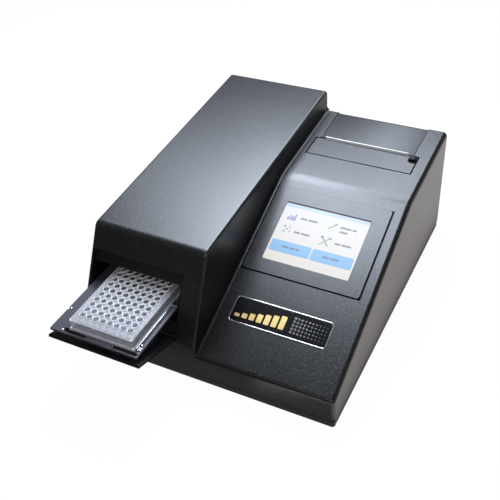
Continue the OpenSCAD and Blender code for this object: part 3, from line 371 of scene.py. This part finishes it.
case_paint = textured_plastic("case_black", (0.0085, 0.0087, 0.0093), 0.34, 0.3, 2.4, ior=1.6)
cast_of("cover", "case_shell", [case_paint], crease=30)

# ---------------------------------------------------------------- junction fillet
# The mould's concave radius where the console grows out of the tower wall. It
# runs up the slope, over the bend and along the printer deck.
CASE_X, CASE_Y, CASE_Z = 162.0, 163.427, 3.0


def at(x, y, z):
    """Millimetres from the lower front left corner of the case to metres in the shared frame."""
    return Vector(((x - CASE_X) / 1000, (y - CASE_Y) / 1000, (z + CASE_Z) / 1000))


def grow(shape, edges):
    """Draws a row of edges out. Gives the new vertices, the edges between them, and the new faces."""
    grown = bmesh.ops.extrude_edge_only(shape, edges=edges)["geom"]
    fresh = [g for g in grown if isinstance(g, bmesh.types.BMVert)]
    between = [g for g in grown if isinstance(g, bmesh.types.BMEdge) and all(v in fresh for v in g.verts)]
    return fresh, between, [g for g in grown if isinstance(g, bmesh.types.BMFace)]


wall_x, lip_h = 155, 40
slope_run, slope_rise = 241, 98
deck_run, deck_rise = 154, 12
slope = math.atan2(slope_rise, slope_run)
deck = math.atan2(deck_rise, deck_run)
cove_r, sunk = 3.2, 0.05
start_y = 3.2
bend_r, bend_steps = 40.0, 10
half_bend = (slope - deck) / 2
before_bend = slope_run / math.cos(slope) - bend_r * math.tan(half_bend)
steps = [(before_bend - 3.5, 0)]
steps += [(bend_r * 2 * half_bend / bend_steps, -2 * half_bend / bend_steps)] * bend_steps
steps += [(147.5, 0)]
cove = bmesh.new()
bmesh.ops.create_circle(cove, cap_ends=False, segments=28, radius=cove_r / 1000)
bmesh.ops.rotate(cove, cent=(0, 0, 0), matrix=Matrix.Rotation(math.radians(90), 3, "X"), verts=cove.verts)
bmesh.ops.translate(cove, vec=(cove_r / 1000, 0, cove_r / 1000), verts=cove.verts)
spare = [v for v in cove.verts if v.co.x > cove_r / 1000 + 1e-7 or v.co.z > cove_r / 1000 + 1e-7]
bmesh.ops.delete(cove, geom=spare, context="VERTS")
bmesh.ops.rotate(cove, cent=(0, 0, 0), matrix=Matrix.Rotation(slope, 3, "X"), verts=cove.verts)
start_z = lip_h + start_y * math.tan(slope)
bmesh.ops.translate(cove, vec=at(wall_x - sunk, start_y, start_z - sunk), verts=cove.verts)
edges = list(cove.edges)
tilt = slope
centre = at(wall_x, start_y, start_z)
for length, turn in steps:
    fresh, edges, _ = grow(cove, edges)
    tilt += turn / 2
    move = Vector((0, math.cos(tilt), math.sin(tilt))) * length / 1000
    centre = centre + move
    bmesh.ops.translate(cove, vec=move, verts=fresh)
    bmesh.ops.rotate(cove, cent=centre, matrix=Matrix.Rotation(turn, 3, "X"), verts=fresh)
    tilt += turn / 2
bmesh.ops.recalc_face_normals(cove, faces=cove.faces)
creased(cove, 40)
fillet = finished("junction_fillet", cove, [case_paint])
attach(fillet, "case")

# ---------------------------------------------------------------- base and feet
# A painted sheet-steel pan with cooling slots closes the case from below. It
# stands on four rubber feet and is held by bright screws.
pan_paint = textured_plastic("pan_paint", (0.03, 0.03, 0.033), 0.42, 0.12)
cast_of("base_pan", "floor_pan", [pan_paint], 0.0003)
foot_paint = Paint("foot_rubber", base_color=(0.012, 0.012, 0.012))
foot_grain = foot_paint.noise(900, 4.0)
foot_paint.set(roughness=0.75 + foot_grain * 0.15, normal=foot_paint.bump(foot_grain, 0.3, 0.0001))
cast_of("feet", "rubber_feet", [foot_paint], 0.0006, rings=3)


def bright_metal(name, colour, roughness, brush=(1, 1, 12), scale=700):
    """Metal with fine brush lines, packed closest along the axis with the largest number in brush."""
    paint = Paint(name, metallic=1.0)
    way = paint.node("ShaderNodeMapping", {}, {"Vector": paint.place, "Scale": brush})
    lines = paint.noise(scale, 3.0, 0.6, way)
    dull = tuple(c * 0.86 for c in colour)
    paint.set(base_color=paint.blend(lines, dull, colour), roughness=roughness + (lines - 0.5) * 0.12,
              normal=paint.bump(lines, 0.06, 0.0001))
    return paint


steel_paint = bright_metal("bright_steel", (0.70, 0.71, 0.73), 0.26)
cast_of("case_screws", "pan_screws", [steel_paint], 0.0002)

# ---------------------------------------------------------------- rear panel
# Bent sheet that carries the mains inlet, the rocker switch and the data
# sockets. The switch and the inlet are snapped in, the sockets are plated.
cast_of("rear_panel", "connector_sheet", [pan_paint], 0.0002)
socket_paint = textured_plastic("socket_black", (0.014, 0.014, 0.015), 0.38, 0.10)
for node, name in (("power_inlet", "mains_inlet"), ("switch_body", "switch_frame")):
    cast_of(node, name, [socket_paint], 0.0004)
cast_of("data_ports", "port_shells", [steel_paint], 0.00015)


def hazed(name, scale, detail, low, spread, **sockets):
    """A smooth finish whose roughness wanders a little above a low value."""
    paint = Paint(name, **sockets)
    paint.set(roughness=low + paint.noise(scale, detail) * spread)
    return paint


rocker_paint = hazed("rocker_gloss", 60, 2.0, 0.18, 0.12, base_color=(0.01, 0.01, 0.011), ior=1.5)
cast_of("power_rocker", "rocker_key", [rocker_paint], 0.0005, rings=3)

# ---------------------------------------------------------------- flap and its frame
# The frame behind the face holds the plate slot and the hinge. The flap is a
# moulded door that hangs on a steel pin and is drawn shut by a wound spring.
inner_paint = textured_plastic("inner_moulding", (0.008, 0.008, 0.009), 0.5, 0.15, ior=1.35)
cast_of("flap_frame", "slot_moulding", [inner_paint], 0.0003)
flap_paint = textured_plastic("flap_satin", (0.007, 0.007, 0.008), 0.4, 0.12, ior=1.38)
cast_of("flap", "drop_flap", [flap_paint], 0.0007, rings=3)
for node, name in (("flap_pin", "hinge_pin"), ("flap_spring", "closing_spring")):
    cast_of(node, name, [steel_paint])

# ---------------------------------------------------------------- plate carrier
# Black anodised tray with finger slots at its front. It slides on two ground
# rods. A bright spring rail holds the plate against four locating pins.
tray_paint = Paint("tray_anodised", metallic=0.55, ior=1.5)
tray_grain = tray_paint.noise(1500, 3.0, 0.6)
tray_cloud = tray_paint.noise(14, 2.0)
tray_paint.set(base_color=tray_paint.blend(tray_cloud, (0.085, 0.081, 0.093), (0.105, 0.10, 0.115)),
               roughness=0.36 + tray_grain * 0.1 + tray_cloud * 0.04,
               normal=tray_paint.bump(tray_grain, 0.12, 0.0001))
cast_of("carrier_plate", "sliding_tray", [tray_paint], 0.0004)
bronze_paint = bright_metal("bush_bronze", (0.55, 0.40, 0.21), 0.4)
cast_of("carrier_bushes", "rod_bushes", [bronze_paint])
polished_paint = bright_metal("polished_steel", (0.82, 0.83, 0.85), 0.14, (6, 1, 6), 400)
cast_of("plate_clamp", "spring_rail", [polished_paint], 0.00035, rings=3)
pin_paint = bright_metal("dull_steel", (0.13, 0.13, 0.14), 0.4)
cast_of("locating_pins", "corner_pins", [pin_paint], 0.0004, rings=3)
cast_of("belt_clamp", "belt_shoe", [socket_paint], 0.0003)

# Pan-head screws that hold the tray to its slide, each with a round socket.
tray_top, head_h = 87.0, 0.9
heads = bmesh.new()
for x, y in ((27, -58.9), (15, -27.4), (15, 60), (121.5, 60), (122, -45)):
    made = bmesh.ops.create_cone(heads, cap_ends=True, segments=20, radius1=0.0017, radius2=0.0013,
                                 depth=head_h / 1000)["verts"]
    bmesh.ops.translate(heads, vec=at(x, y, tray_top + head_h / 2), verts=made)
    crown = max({f for v in made for f in v.link_faces}, key=lambda f: f.calc_center_median().z)
    bmesh.ops.inset_individual(heads, faces=[crown], thickness=0.0006, depth=-0.0004)
rims = [e for e in heads.edges if e.calc_face_angle(0) > 0.6]
bmesh.ops.bevel(heads, geom=rims, offset=0.00012, segments=2, profile=0.5, affect="EDGES", material=-1)
creased(heads, 40)
tray_screws = finished("tray_screws", heads, [polished_paint])
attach(tray_screws, "carrier")

# ---------------------------------------------------------------- microplate
# Clear polystyrene plate with a skirt and a grid of round wells, moulded in one
# shot. Each well has a raised rim and a flat floor with a rounded edge.
deck_paint = Paint("clear_polystyrene", base_color=(0.82, 0.82, 0.87), ior=1.59, alpha=0.25)
ripple = deck_paint.noise(160, 2.0)
deck_paint.set(roughness=0.1 + ripple * 0.08, normal=deck_paint.bump(ripple, 0.05, 0.0004))
well_paint = Paint("well_polystyrene", base_color=(0.9, 0.91, 0.96), ior=1.59, alpha=0.09)
well_ripple = well_paint.noise(220, 2.0)
# Painted light: the wells grow lighter and more opaque toward the front of the plate, standing in for the
# light that the front wells catch.
painted_front_light = well_paint.axes()[1].past(-0.13, -0.08)
well_paint.set(roughness=0.08 + well_ripple * 0.08, alpha=0.04 + painted_front_light * 0.26)
# The well rims' finish is the clear polystyrene made nearly opaque and white: a painted highlight that makes
# the well rims and the bands at the skirt's edges shine.
glint_paint = hazed("polystyrene_painted_glint", 300, 2.0, 0.05, 0.08,
                  base_color=(0.93, 0.94, 0.98), ior=1.59, alpha=0.95)
skirt_paint = hazed("skirt_polystyrene", 90, 2.0, 0.05, 0.08,
                    base_color=(0.72, 0.72, 0.77), ior=1.59, alpha=0.26)
plate_paints = [deck_paint, well_paint, glint_paint, skirt_paint]
DECK, WELL, GLINT, SKIRT = range(4)
PITCH, COLUMNS, ROWS = 9.0, 8, 12
plate_foot, plate_h = 86.5, 14.3
plate_low = at(32.5, -56.4, plate_foot)
first_well = at(43.74, -42.02, plate_foot + plate_h)
plate = bmesh.new()
ring = bmesh.ops.create_circle(plate, cap_ends=False, segments=16, radius=0.0043)["verts"]
for corner in grow(plate, list(plate.edges))[0]:
    reach = max(abs(corner.co.x), abs(corner.co.y))
    corner.co *= PITCH / 2000 / reach
ring_edges = [e for e in plate.edges if all(v in ring for v in e.verts)]
well = ((0.0040, 0.0009, GLINT), (0.0036, 0.0009, GLINT), (0.0033, 0.0, GLINT), (0.0031, -0.0098, WELL),
        (0.0026, -0.0105, WELL))
for radius, level, kind in well:
    fresh, ring_edges, faces = grow(plate, ring_edges)
    for v in fresh:
        flat = Vector((v.co.x, v.co.y, 0)).normalized() * radius
        v.co = (flat.x, flat.y, level)
    for face in faces:
        face.material_index = kind
for face in bmesh.ops.contextual_create(plate, geom=ring_edges)["faces"]:
    face.material_index = WELL
cell = list(plate.verts) + list(plate.edges) + list(plate.faces)
bmesh.ops.translate(plate, vec=first_well, verts=plate.verts)
for i in range(COLUMNS):
    for j in range(ROWS):
        if i or j:
            copied = bmesh.ops.duplicate(plate, geom=cell)["geom"]
            bmesh.ops.translate(plate, vec=(i * PITCH / 1000, j * PITCH / 1000, 0),
                                verts=[g for g in copied if isinstance(g, bmesh.types.BMVert)])
bmesh.ops.remove_doubles(plate, verts=plate.verts, dist=1e-6)
middle = plate_low + Vector((85.48, 127.76, 0)) / 2000

# The deck's margin, the skirt and its foot, each grown from the last rim. The
# narrow bands between them take the bright finish of the well rims, a painted
# highlight along the moulding's edges.
deck_edge, wall_edge, foot_edge = (82.88, 125.16), (82.98, 125.26), (85.48, 127.76)
skirt = ((deck_edge, plate_h, DECK), (deck_edge, 13.6, GLINT), (wall_edge, 3.0, SKIRT), (wall_edge, 2.5, GLINT),
         (foot_edge, 2.4, SKIRT), (foot_edge, 1.9, GLINT), (foot_edge, 0.4, SKIRT), (foot_edge, 0.0, GLINT))
rim_edges = [e for e in plate.edges if e.is_boundary]
size = Vector((PITCH * COLUMNS, PITCH * ROWS))
for (wide, long), level, kind in skirt:
    fresh, rim_edges, faces = grow(plate, rim_edges)
    for v in fresh:
        v.co.x = middle.x + (v.co.x - middle.x) * wide / size.x
        v.co.y = middle.y + (v.co.y - middle.y) * long / size.y
        v.co.z = plate_low.z + level / 1000
    size = Vector((wide, long))
    for face in faces:
        face.material_index = kind
folded, upright, corner_x, corner_y = 1.2, 0.8, 0.041, 0.062
corners = [e for e in plate.edges if len(e.link_faces) == 2 and e.calc_face_angle(0) > folded
           and abs(e.verts[0].co.z - e.verts[1].co.z) > upright * e.calc_length()
           and abs(e.verts[0].co.x - middle.x) > corner_x and abs(e.verts[0].co.y - middle.y) > corner_y]
bmesh.ops.bevel(plate, geom=corners, offset=0.0026, segments=4, profile=0.5, affect="EDGES", material=-1)
bmesh.ops.recalc_face_normals(plate, faces=plate.faces)
creased(plate, 42)
well_plate = finished("well_plate", plate, plate_paints)
wall = well_plate.modifiers.new("moulded_wall", "SOLIDIFY")
wall.thickness, wall.offset = 0.0007, -1
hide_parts("microplate")
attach(well_plate, "carrier")

# ---------------------------------------------------------------- screen
# A bezel let into the slope, a sheet of touch glass and a lit display, which
# shows a plain menu: a status bar, four pictures with bars for words, two keys.
cast_of("screen_frame", "screen_ledge", [inner_paint], 0.0002)


def nudge(piece, toward, reach, by):
    """Moves the side of a piece that lies farthest along a direction, to open or close the gap there."""
    toward = Vector(toward).normalized()
    far = max(v.co.dot(toward) for v in piece.data.vertices)
    for v in piece.data.vertices:
        if v.co.dot(toward) > far - reach:
            v.co += toward * by


up_slope = Vector((0, math.cos(slope), math.sin(slope)))
surround = cast_of("screen_bezel", "screen_surround", [case_paint], 0.00015)
for toward, by in ((up_slope, 0.00028), (-up_slope, -0.0008), ((1, 0, 0), -0.0013)):
    nudge(surround, toward, reach=0.003, by=by)
module_paint = bright_metal("display_metal", (0.5, 0.51, 0.53), 0.35)
cast_of("lcd_module", "display_module", [module_paint], 0.0002)
glass_paint = hazed("touch_glass", 30, 3.0, 0.08, 0.06, base_color=(0.9, 0.93, 0.96), ior=1.5, alpha=0.06)
cast_of("touch_panel", "touch_glass", [glass_paint], 0.0003)


def on_slope(x, u, n):
    """A point at x across, u up the slope from its foot and n out of it, in millimetres."""
    return at(x, u * math.cos(slope) - n * math.sin(slope), lip_h + u * math.sin(slope) + n * math.cos(slope))


picture_paint = Paint("menu_picture", base_color=(0.0, 0.0, 0.0), roughness=0.3, emission_strength=0.73)
px, py, pz = picture_paint.axes()
picture_x, picture_u, picture_w, picture_h = 178.35, 141, 110, 82.5
corner = on_slope(picture_x, picture_u, 0)
across = (px - corner.x) * 1000.0
along = ((py - corner.y) * math.cos(slope) + (pz - corner.z) * math.sin(slope)) * 1000.0


def patch(left, low, wide, tall, round_by=0.0, soft=0.25):
    """1 inside a rectangle on the picture, 0 outside, with a soft edge."""
    dx = (abs(across - (left + wide / 2)) - (wide / 2 - round_by)).at_least(0.0)
    dy = (abs(along - (low + tall / 2)) - (tall / 2 - round_by)).at_least(0.0)
    away = (dx * dx + dy * dy).math("SQRT") - round_by
    return (0.5 - away / soft).clamped()


def stroke(x0, y0, x1, y1, thick):
    """1 along a straight line on the picture."""
    soft = 0.3
    long = math.hypot(x1 - x0, y1 - y0)
    ux, uy = (x1 - x0) / long, (y1 - y0) / long
    run = ((across - x0) * ux + (along - y0) * uy)
    over = (abs(run - long / 2) - long / 2).at_least(0.0)
    side = abs((across - x0) * uy - (along - y0) * ux)
    away = (over * over + side * side).math("SQRT") - thick / 2
    return (0.5 - away / soft).clamped()


def words(left, low, widths, tall=2.6):
    """A row of short bars that stand for a line of words."""
    row = None
    for wide in widths:
        bar = patch(left, low, wide, tall, 0.5)
        row = bar if row is None else row.at_least(bar)
        left += wide + 1.3
    return row


ink, key_ink, grey = (0.16, 0.16, 0.20), (0.07, 0.16, 0.33), (0.4, 0.4, 0.4)
key_edge, key_face = (0.12, 0.38, 0.78), (0.2, 0.53, 0.93)
layers = [
    (patch(-1, 76.6, 112, 7, 0, 1.2), (0.17, 0.48, 0.76)),
    (patch(-1, 80.6, 112, 3, 0, 1.0), (0.23, 0.58, 0.83)),
    (words(34, 78.3, (5, 3, 7, 4), 1.6), (0.55, 0.80, 0.95)),
]
for left in (2.6, 55.4):
    layers.append((patch(left, 13.4, 51.0, 15.6, 2.0), key_edge))
    layers.append((patch(left + 0.5, 14.0, 50.0, 14.6, 1.7, 0.6), key_face))
captions = (
    (17, 20.2, (9, 6, 5), key_ink),
    (69, 20.2, (9, 10), key_ink),
    (25, 62.5, (9, 12), ink),
    (24, 42.5, (8, 11), ink),
    (76, 63.5, (14, 5), ink),
    (77, 57.5, (10,), ink),
    (77, 41.0, (7, 12), ink),
)
for left, low, widths, colour in captions:
    layers.append((words(left, low, widths), colour))
chart = ((4, (0.16, 0.15, 0.42)), (7, (0.30, 0.26, 0.55)), (5.5, (0.10, 0.12, 0.36)), (9.5, (0.22, 0.2, 0.5)))
for k, (tall, colour) in enumerate(chart):
    layers.append((patch(8.5 + 2.9 * k, 58.5, 2.3, tall, 0.2), colour))
layers += [
    (patch(58.5, 56, 9.5, 12.5, 0.6), (0.62, 0.62, 0.60)),
    (patch(59.2, 56.7, 8.1, 11.1, 0.4), (0.92, 0.92, 0.88)),
    (stroke(61, 59.5, 66, 59.5, 0.5), grey),
    (stroke(61, 62, 65, 62, 0.5), grey),
    (stroke(62.5, 59.5, 70.5, 67.5, 1.7), (0.25, 0.38, 0.05)),
    (stroke(69.4, 66.4, 70.9, 67.9, 1.7), (0.06, 0.06, 0.06)),
]
dots = (
    (9, 47.5, (0.05, 0.28, 0.12)),
    (15.5, 48, (0.45, 0.50, 0.55)),
    (10, 40.5, (0.06, 0.20, 0.5)),
    (16.8, 41.5, (0.5, 0.42, 0.12)),
    (12.7, 44.3, (0.3, 0.32, 0.36)),
)
for x, y, colour in dots:
    layers.append((patch(x, y, 2.6, 2.6, 1.25), colour))
layers += [
    (stroke(59.5, 36.5, 69.5, 47, 2.0), (0.42, 0.48, 0.50)),
    (stroke(59.5, 47, 69.5, 36.5, 1.7), (0.12, 0.42, 0.08)),
    (patch(67.5, 45.2, 4.2, 3.4, 1.2), (0.30, 0.34, 0.36)),
    (patch(57.8, 45.4, 3.6, 3.2, 0.9), (0.08, 0.28, 0.05)),
]
picture = picture_paint.blend((along / picture_h).clamped(), (0.93, 0.89, 0.80), (0.84, 0.80, 0.83))
for mask, colour in layers:
    picture = picture_paint.blend(mask, picture, colour)
# The picture is black along its top and right edges: a painted shadow of the bezel's window edge on the
# display.
clear_of_edge_shadow = patch(-2, -2, 110.8, 83.2, 2.0)
picture_paint.set(emission_color=picture_paint.blend(clear_of_edge_shadow, (0.0, 0.0, 0.0), picture))
margin, behind = 1.5, 1.05
sheet = bmesh.new()
bmesh.ops.create_grid(sheet, x_segments=1, y_segments=1, size=0.5)
bmesh.ops.scale(sheet, vec=((picture_w + margin) / 1000, (picture_h + margin) / 1000, 1), verts=sheet.verts)
bmesh.ops.rotate(sheet, cent=(0, 0, 0), matrix=Matrix.Rotation(slope, 3, "X"), verts=sheet.verts)
sheet_middle = on_slope(picture_x + picture_w / 2, picture_u + picture_h / 2, -behind)
bmesh.ops.translate(sheet, vec=sheet_middle, verts=sheet.verts)
display_picture = finished("display_picture", sheet, [picture_paint])
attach(display_picture, "case")

# ---------------------------------------------------------------- nameplate
# Die-cast rim with bright plating round a gloss black plate. The plate carries
# a plain pattern: gold bars on the left, rows of silver studs on the right.
chrome_paint = hazed("plated_rim", 60, 2.0, 0.12, 0.08, metallic=1.0, base_color=(0.83, 0.83, 0.84))
cast_of("badge_rim", "nameplate_rim", [chrome_paint], 0.0006, rings=4)
gloss_paint = hazed("gloss_black", 40, 2.0, 0.13, 0.08, base_color=(0.006, 0.006, 0.007), ior=1.5)
cast_of("badge_plate", "nameplate_field", [gloss_paint])
gold_paint = Paint("gold_foil", metallic=0.75)
gold_sheen = gold_paint.noise(45, 2.0)
gold_paint.set(roughness=0.3 + gold_sheen * 0.1,
               base_color=gold_paint.blend(gold_sheen, (0.78, 0.53, 0.16), (0.95, 0.74, 0.34)))


def foil(name, paint, shapes):
    """Thin raised foil pieces on the nameplate: x, u, width, height and rounding of each, in millimetres."""
    thin = 0.16
    film = bmesh.new()
    for x, u, wide, tall, round_by in shapes:
        made = bmesh.ops.create_cube(film, size=1)["verts"]
        bmesh.ops.scale(film, vec=(wide / 1000, tall / 1000, thin / 1000), verts=made)
        bmesh.ops.translate(film, vec=((x + wide / 2) / 1000, (u + tall / 2) / 1000, thin / 2000), verts=made)
        edges = {e for v in made for e in v.link_edges}
        posts = [e for e in edges if abs(e.verts[0].co.z - e.verts[1].co.z) > 1e-5]
        bmesh.ops.bevel(film, geom=posts, offset=round_by / 1000, segments=4, profile=0.5, affect="EDGES",
                        material=-1)
    bmesh.ops.rotate(film, cent=(0, 0, 0), matrix=Matrix.Rotation(slope, 3, "X"), verts=film.verts)
    plate_corner = on_slope(171, 53, 0.2)
    bmesh.ops.translate(film, vec=plate_corner, verts=film.verts)
    creased(film, 40)
    piece = finished(name, film, [paint])
    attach(piece, "case")


gold = [(6 + 9.2 * k, 8, 6.6, 4 + 2.1 * k, 1.0) for k in range(7)]
foil("gold_bars", gold_paint, gold)
studs = []
for i in range(10):
    side = 3.0 - 0.17 * i
    studs += [(75.5 + 4.4 * i, 7 + 4.4 * j, side, side, 1.0) for j in range(5)]
foil("silver_studs", chrome_paint, studs)

# ---------------------------------------------------------------- printer
# Roll printer under the deck: a hinged lid with the platen roller, a tear-off
# panel in front of the paper slot and a black release key.
lid = cast_of("printer_lid", "roll_lid", [case_paint], 0.0004)
nudge(lid, (-1, 0, 0), reach=0.003, by=-0.0004)
nudge(lid, (1, 0, 0), reach=0.003, by=-0.0002)
nudge(lid, (0, 1, 1), reach=0.0025, by=-0.0007)
panel = cast_of("tear_panel", "tear_bar_panel", [case_paint], 0.0003)
for toward in ((1, 0, 0), (-1, 0, 0), (0, -math.cos(deck), -math.sin(deck))):
    nudge(panel, toward, reach=0.003, by=-0.0012)
cast_of("printer_tub", "roll_tub", [inner_paint])
paper_paint = Paint("white_paper")
fibre = paper_paint.noise(900, 4.0, 0.7)
paper_paint.set(roughness=0.8 + fibre * 0.1,
                base_color=paper_paint.blend(fibre, (0.84, 0.84, 0.82), (0.92, 0.92, 0.90)),
                normal=paper_paint.bump(fibre, 0.1, 0.0001))
strip = cast_of("paper_strip", "paper_edge", [paper_paint])
nudge(strip, (0, -math.sin(deck), math.cos(deck)), reach=0.001, by=0.0009)
nudge(strip, (0, math.cos(deck), math.sin(deck)), reach=0.00005, by=0.0006)
cast_of("paper_roll", "paper_roll", [paper_paint])
knob_paint = textured_plastic("key_black", (0.004, 0.004, 0.004), 0.4, 0.1, ior=1.33)
cast_of("release_button", "release_key", [knob_paint], 0.0009, rings=4)

# The key's grip: three moulded ribs across its top.
grip = bmesh.new()
for k in range(3):
    made = bmesh.ops.create_cube(grip, size=1)["verts"]
    bmesh.ops.scale(grip, vec=(0.0066, 0.001, 0.0008), verts=made)
    bmesh.ops.translate(grip, vec=(0, (k - 1) * 0.0022, 0.0001), verts=made)
bmesh.ops.bevel(grip, geom=list(grip.edges), offset=0.0003, segments=3, profile=0.5, affect="EDGES",
                material=-1)
bmesh.ops.rotate(grip, cent=(0, 0, 0), matrix=Matrix.Rotation(deck, 3, "X"), verts=grip.verts)
low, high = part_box("release_button")
middle = Vector(((low.x + high.x) / 2, (low.y + high.y) / 2 - 0.0005, high.z - 0.0004))
bmesh.ops.translate(grip, vec=middle, verts=grip.verts)
creased(grip, 40)
key_ribs = finished("key_ribs", grip, [knob_paint])
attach(key_ribs, "release_button")

# ---------------------------------------------------------------- works inside
# Printer mechanism, carrier drive, optics and boards. Each solid keeps its
# shape and takes the finish that such a part has.
motor_paint = textured_plastic("motor_enamel", (0.035, 0.035, 0.04), 0.4, 0.1)
nylon_paint = hazed("white_nylon", 500, 2.0, 0.36, 0.1, base_color=(0.8, 0.79, 0.75), ior=1.5)
belt_paint = Paint("drive_rubber", base_color=(0.012, 0.012, 0.012))
rib_rate = 3142.0
ribs = (belt_paint.axes()[1] * rib_rate).math("SINE")
belt_paint.set(roughness=0.7 + ribs * 0.05, normal=belt_paint.bump(ribs, 0.4, 0.0003))
ceramic_paint = hazed("head_ceramic", 300, 3.0, 0.3, 0.12, base_color=(0.5, 0.46, 0.38), ior=1.6)
aluminium_paint = bright_metal("bare_aluminium", (0.66, 0.67, 0.69), 0.38, (1, 10, 1), 500)
dark_metal = bright_metal("black_anodised", (0.05, 0.05, 0.055), 0.42)
lens_paint = hazed("lens_glass", 80, 2.0, 0.04, 0.04, base_color=(0.9, 0.93, 0.96), ior=1.52, alpha=0.35)
lamp_paint = hazed("lamp_glass", 80, 2.0, 0.08, 0.05, base_color=(0.9, 0.9, 0.85), ior=1.5, alpha=0.5)
filter_paint = Paint("coated_glass", roughness=0.1, ior=1.6, metallic=0.3)
wheel_x, wheel_z = -0.067, 0.129
filter_x, _, filter_z = filter_paint.axes()
sector = (filter_z - wheel_z).math("ARCTAN2", filter_x - wheel_x)
tints = ((0.0, (0.5, 0.1, 0.05)), (0.33, (0.5, 0.4, 0.08)),
         (0.66, (0.06, 0.35, 0.3)), (1.0, (0.2, 0.1, 0.45)))
full_turn = 6.283
ramp = filter_paint.node("ShaderNodeValToRGB", {"stops": tints}, {0: sector / full_turn + 0.5}, "Color")
filter_paint.set(base_color=ramp)
board_paint = Paint("circuit_board", ior=1.5)
grid = {"Vector": board_paint.place, "Scale": 60.0, "Mortar Size": 0.03}
tracks = board_paint.node("ShaderNodeTexBrick", {}, grid, "Fac")
board_paint.set(base_color=board_paint.blend(tracks, (0.02, 0.13, 0.06), (0.03, 0.2, 0.09)),
                roughness=0.35 + tracks * 0.1)
finishes = {
    "print_head": ceramic_paint, "roll_spindle": knob_paint, "feed_motor": motor_paint,
    "feed_gear": nylon_paint, "lid_pin": steel_paint, "platen_roller": foot_paint, "platen_gear": nylon_paint,
    "guide_rods": polished_paint, "rod_brackets": aluminium_paint, "drive_belt": belt_paint,
    "drive_pulley": aluminium_paint, "idler_pulley": aluminium_paint, "drive_motor": motor_paint,
    "motor_bracket": aluminium_paint, "idler_post": steel_paint, "optics_bracket": aluminium_paint,
    "lens_block": dark_metal, "lenses": lens_paint, "light_guide": inner_paint,
    "wheel_bracket": aluminium_paint, "filter_wheel": dark_metal, "filter_set": filter_paint,
    "wheel_motor": motor_paint, "lamp_housing": aluminium_paint, "lamp": lamp_paint,
    "detector_board": board_paint, "main_board": board_paint, "power_supply": board_paint,
    "board_posts": steel_paint,
}
for node, paint in finishes.items():
    part = frame["nodes"][node]
    part.data.materials.clear()
    part.data.materials.append(paint.material)

bpy.context.view_layer.update()
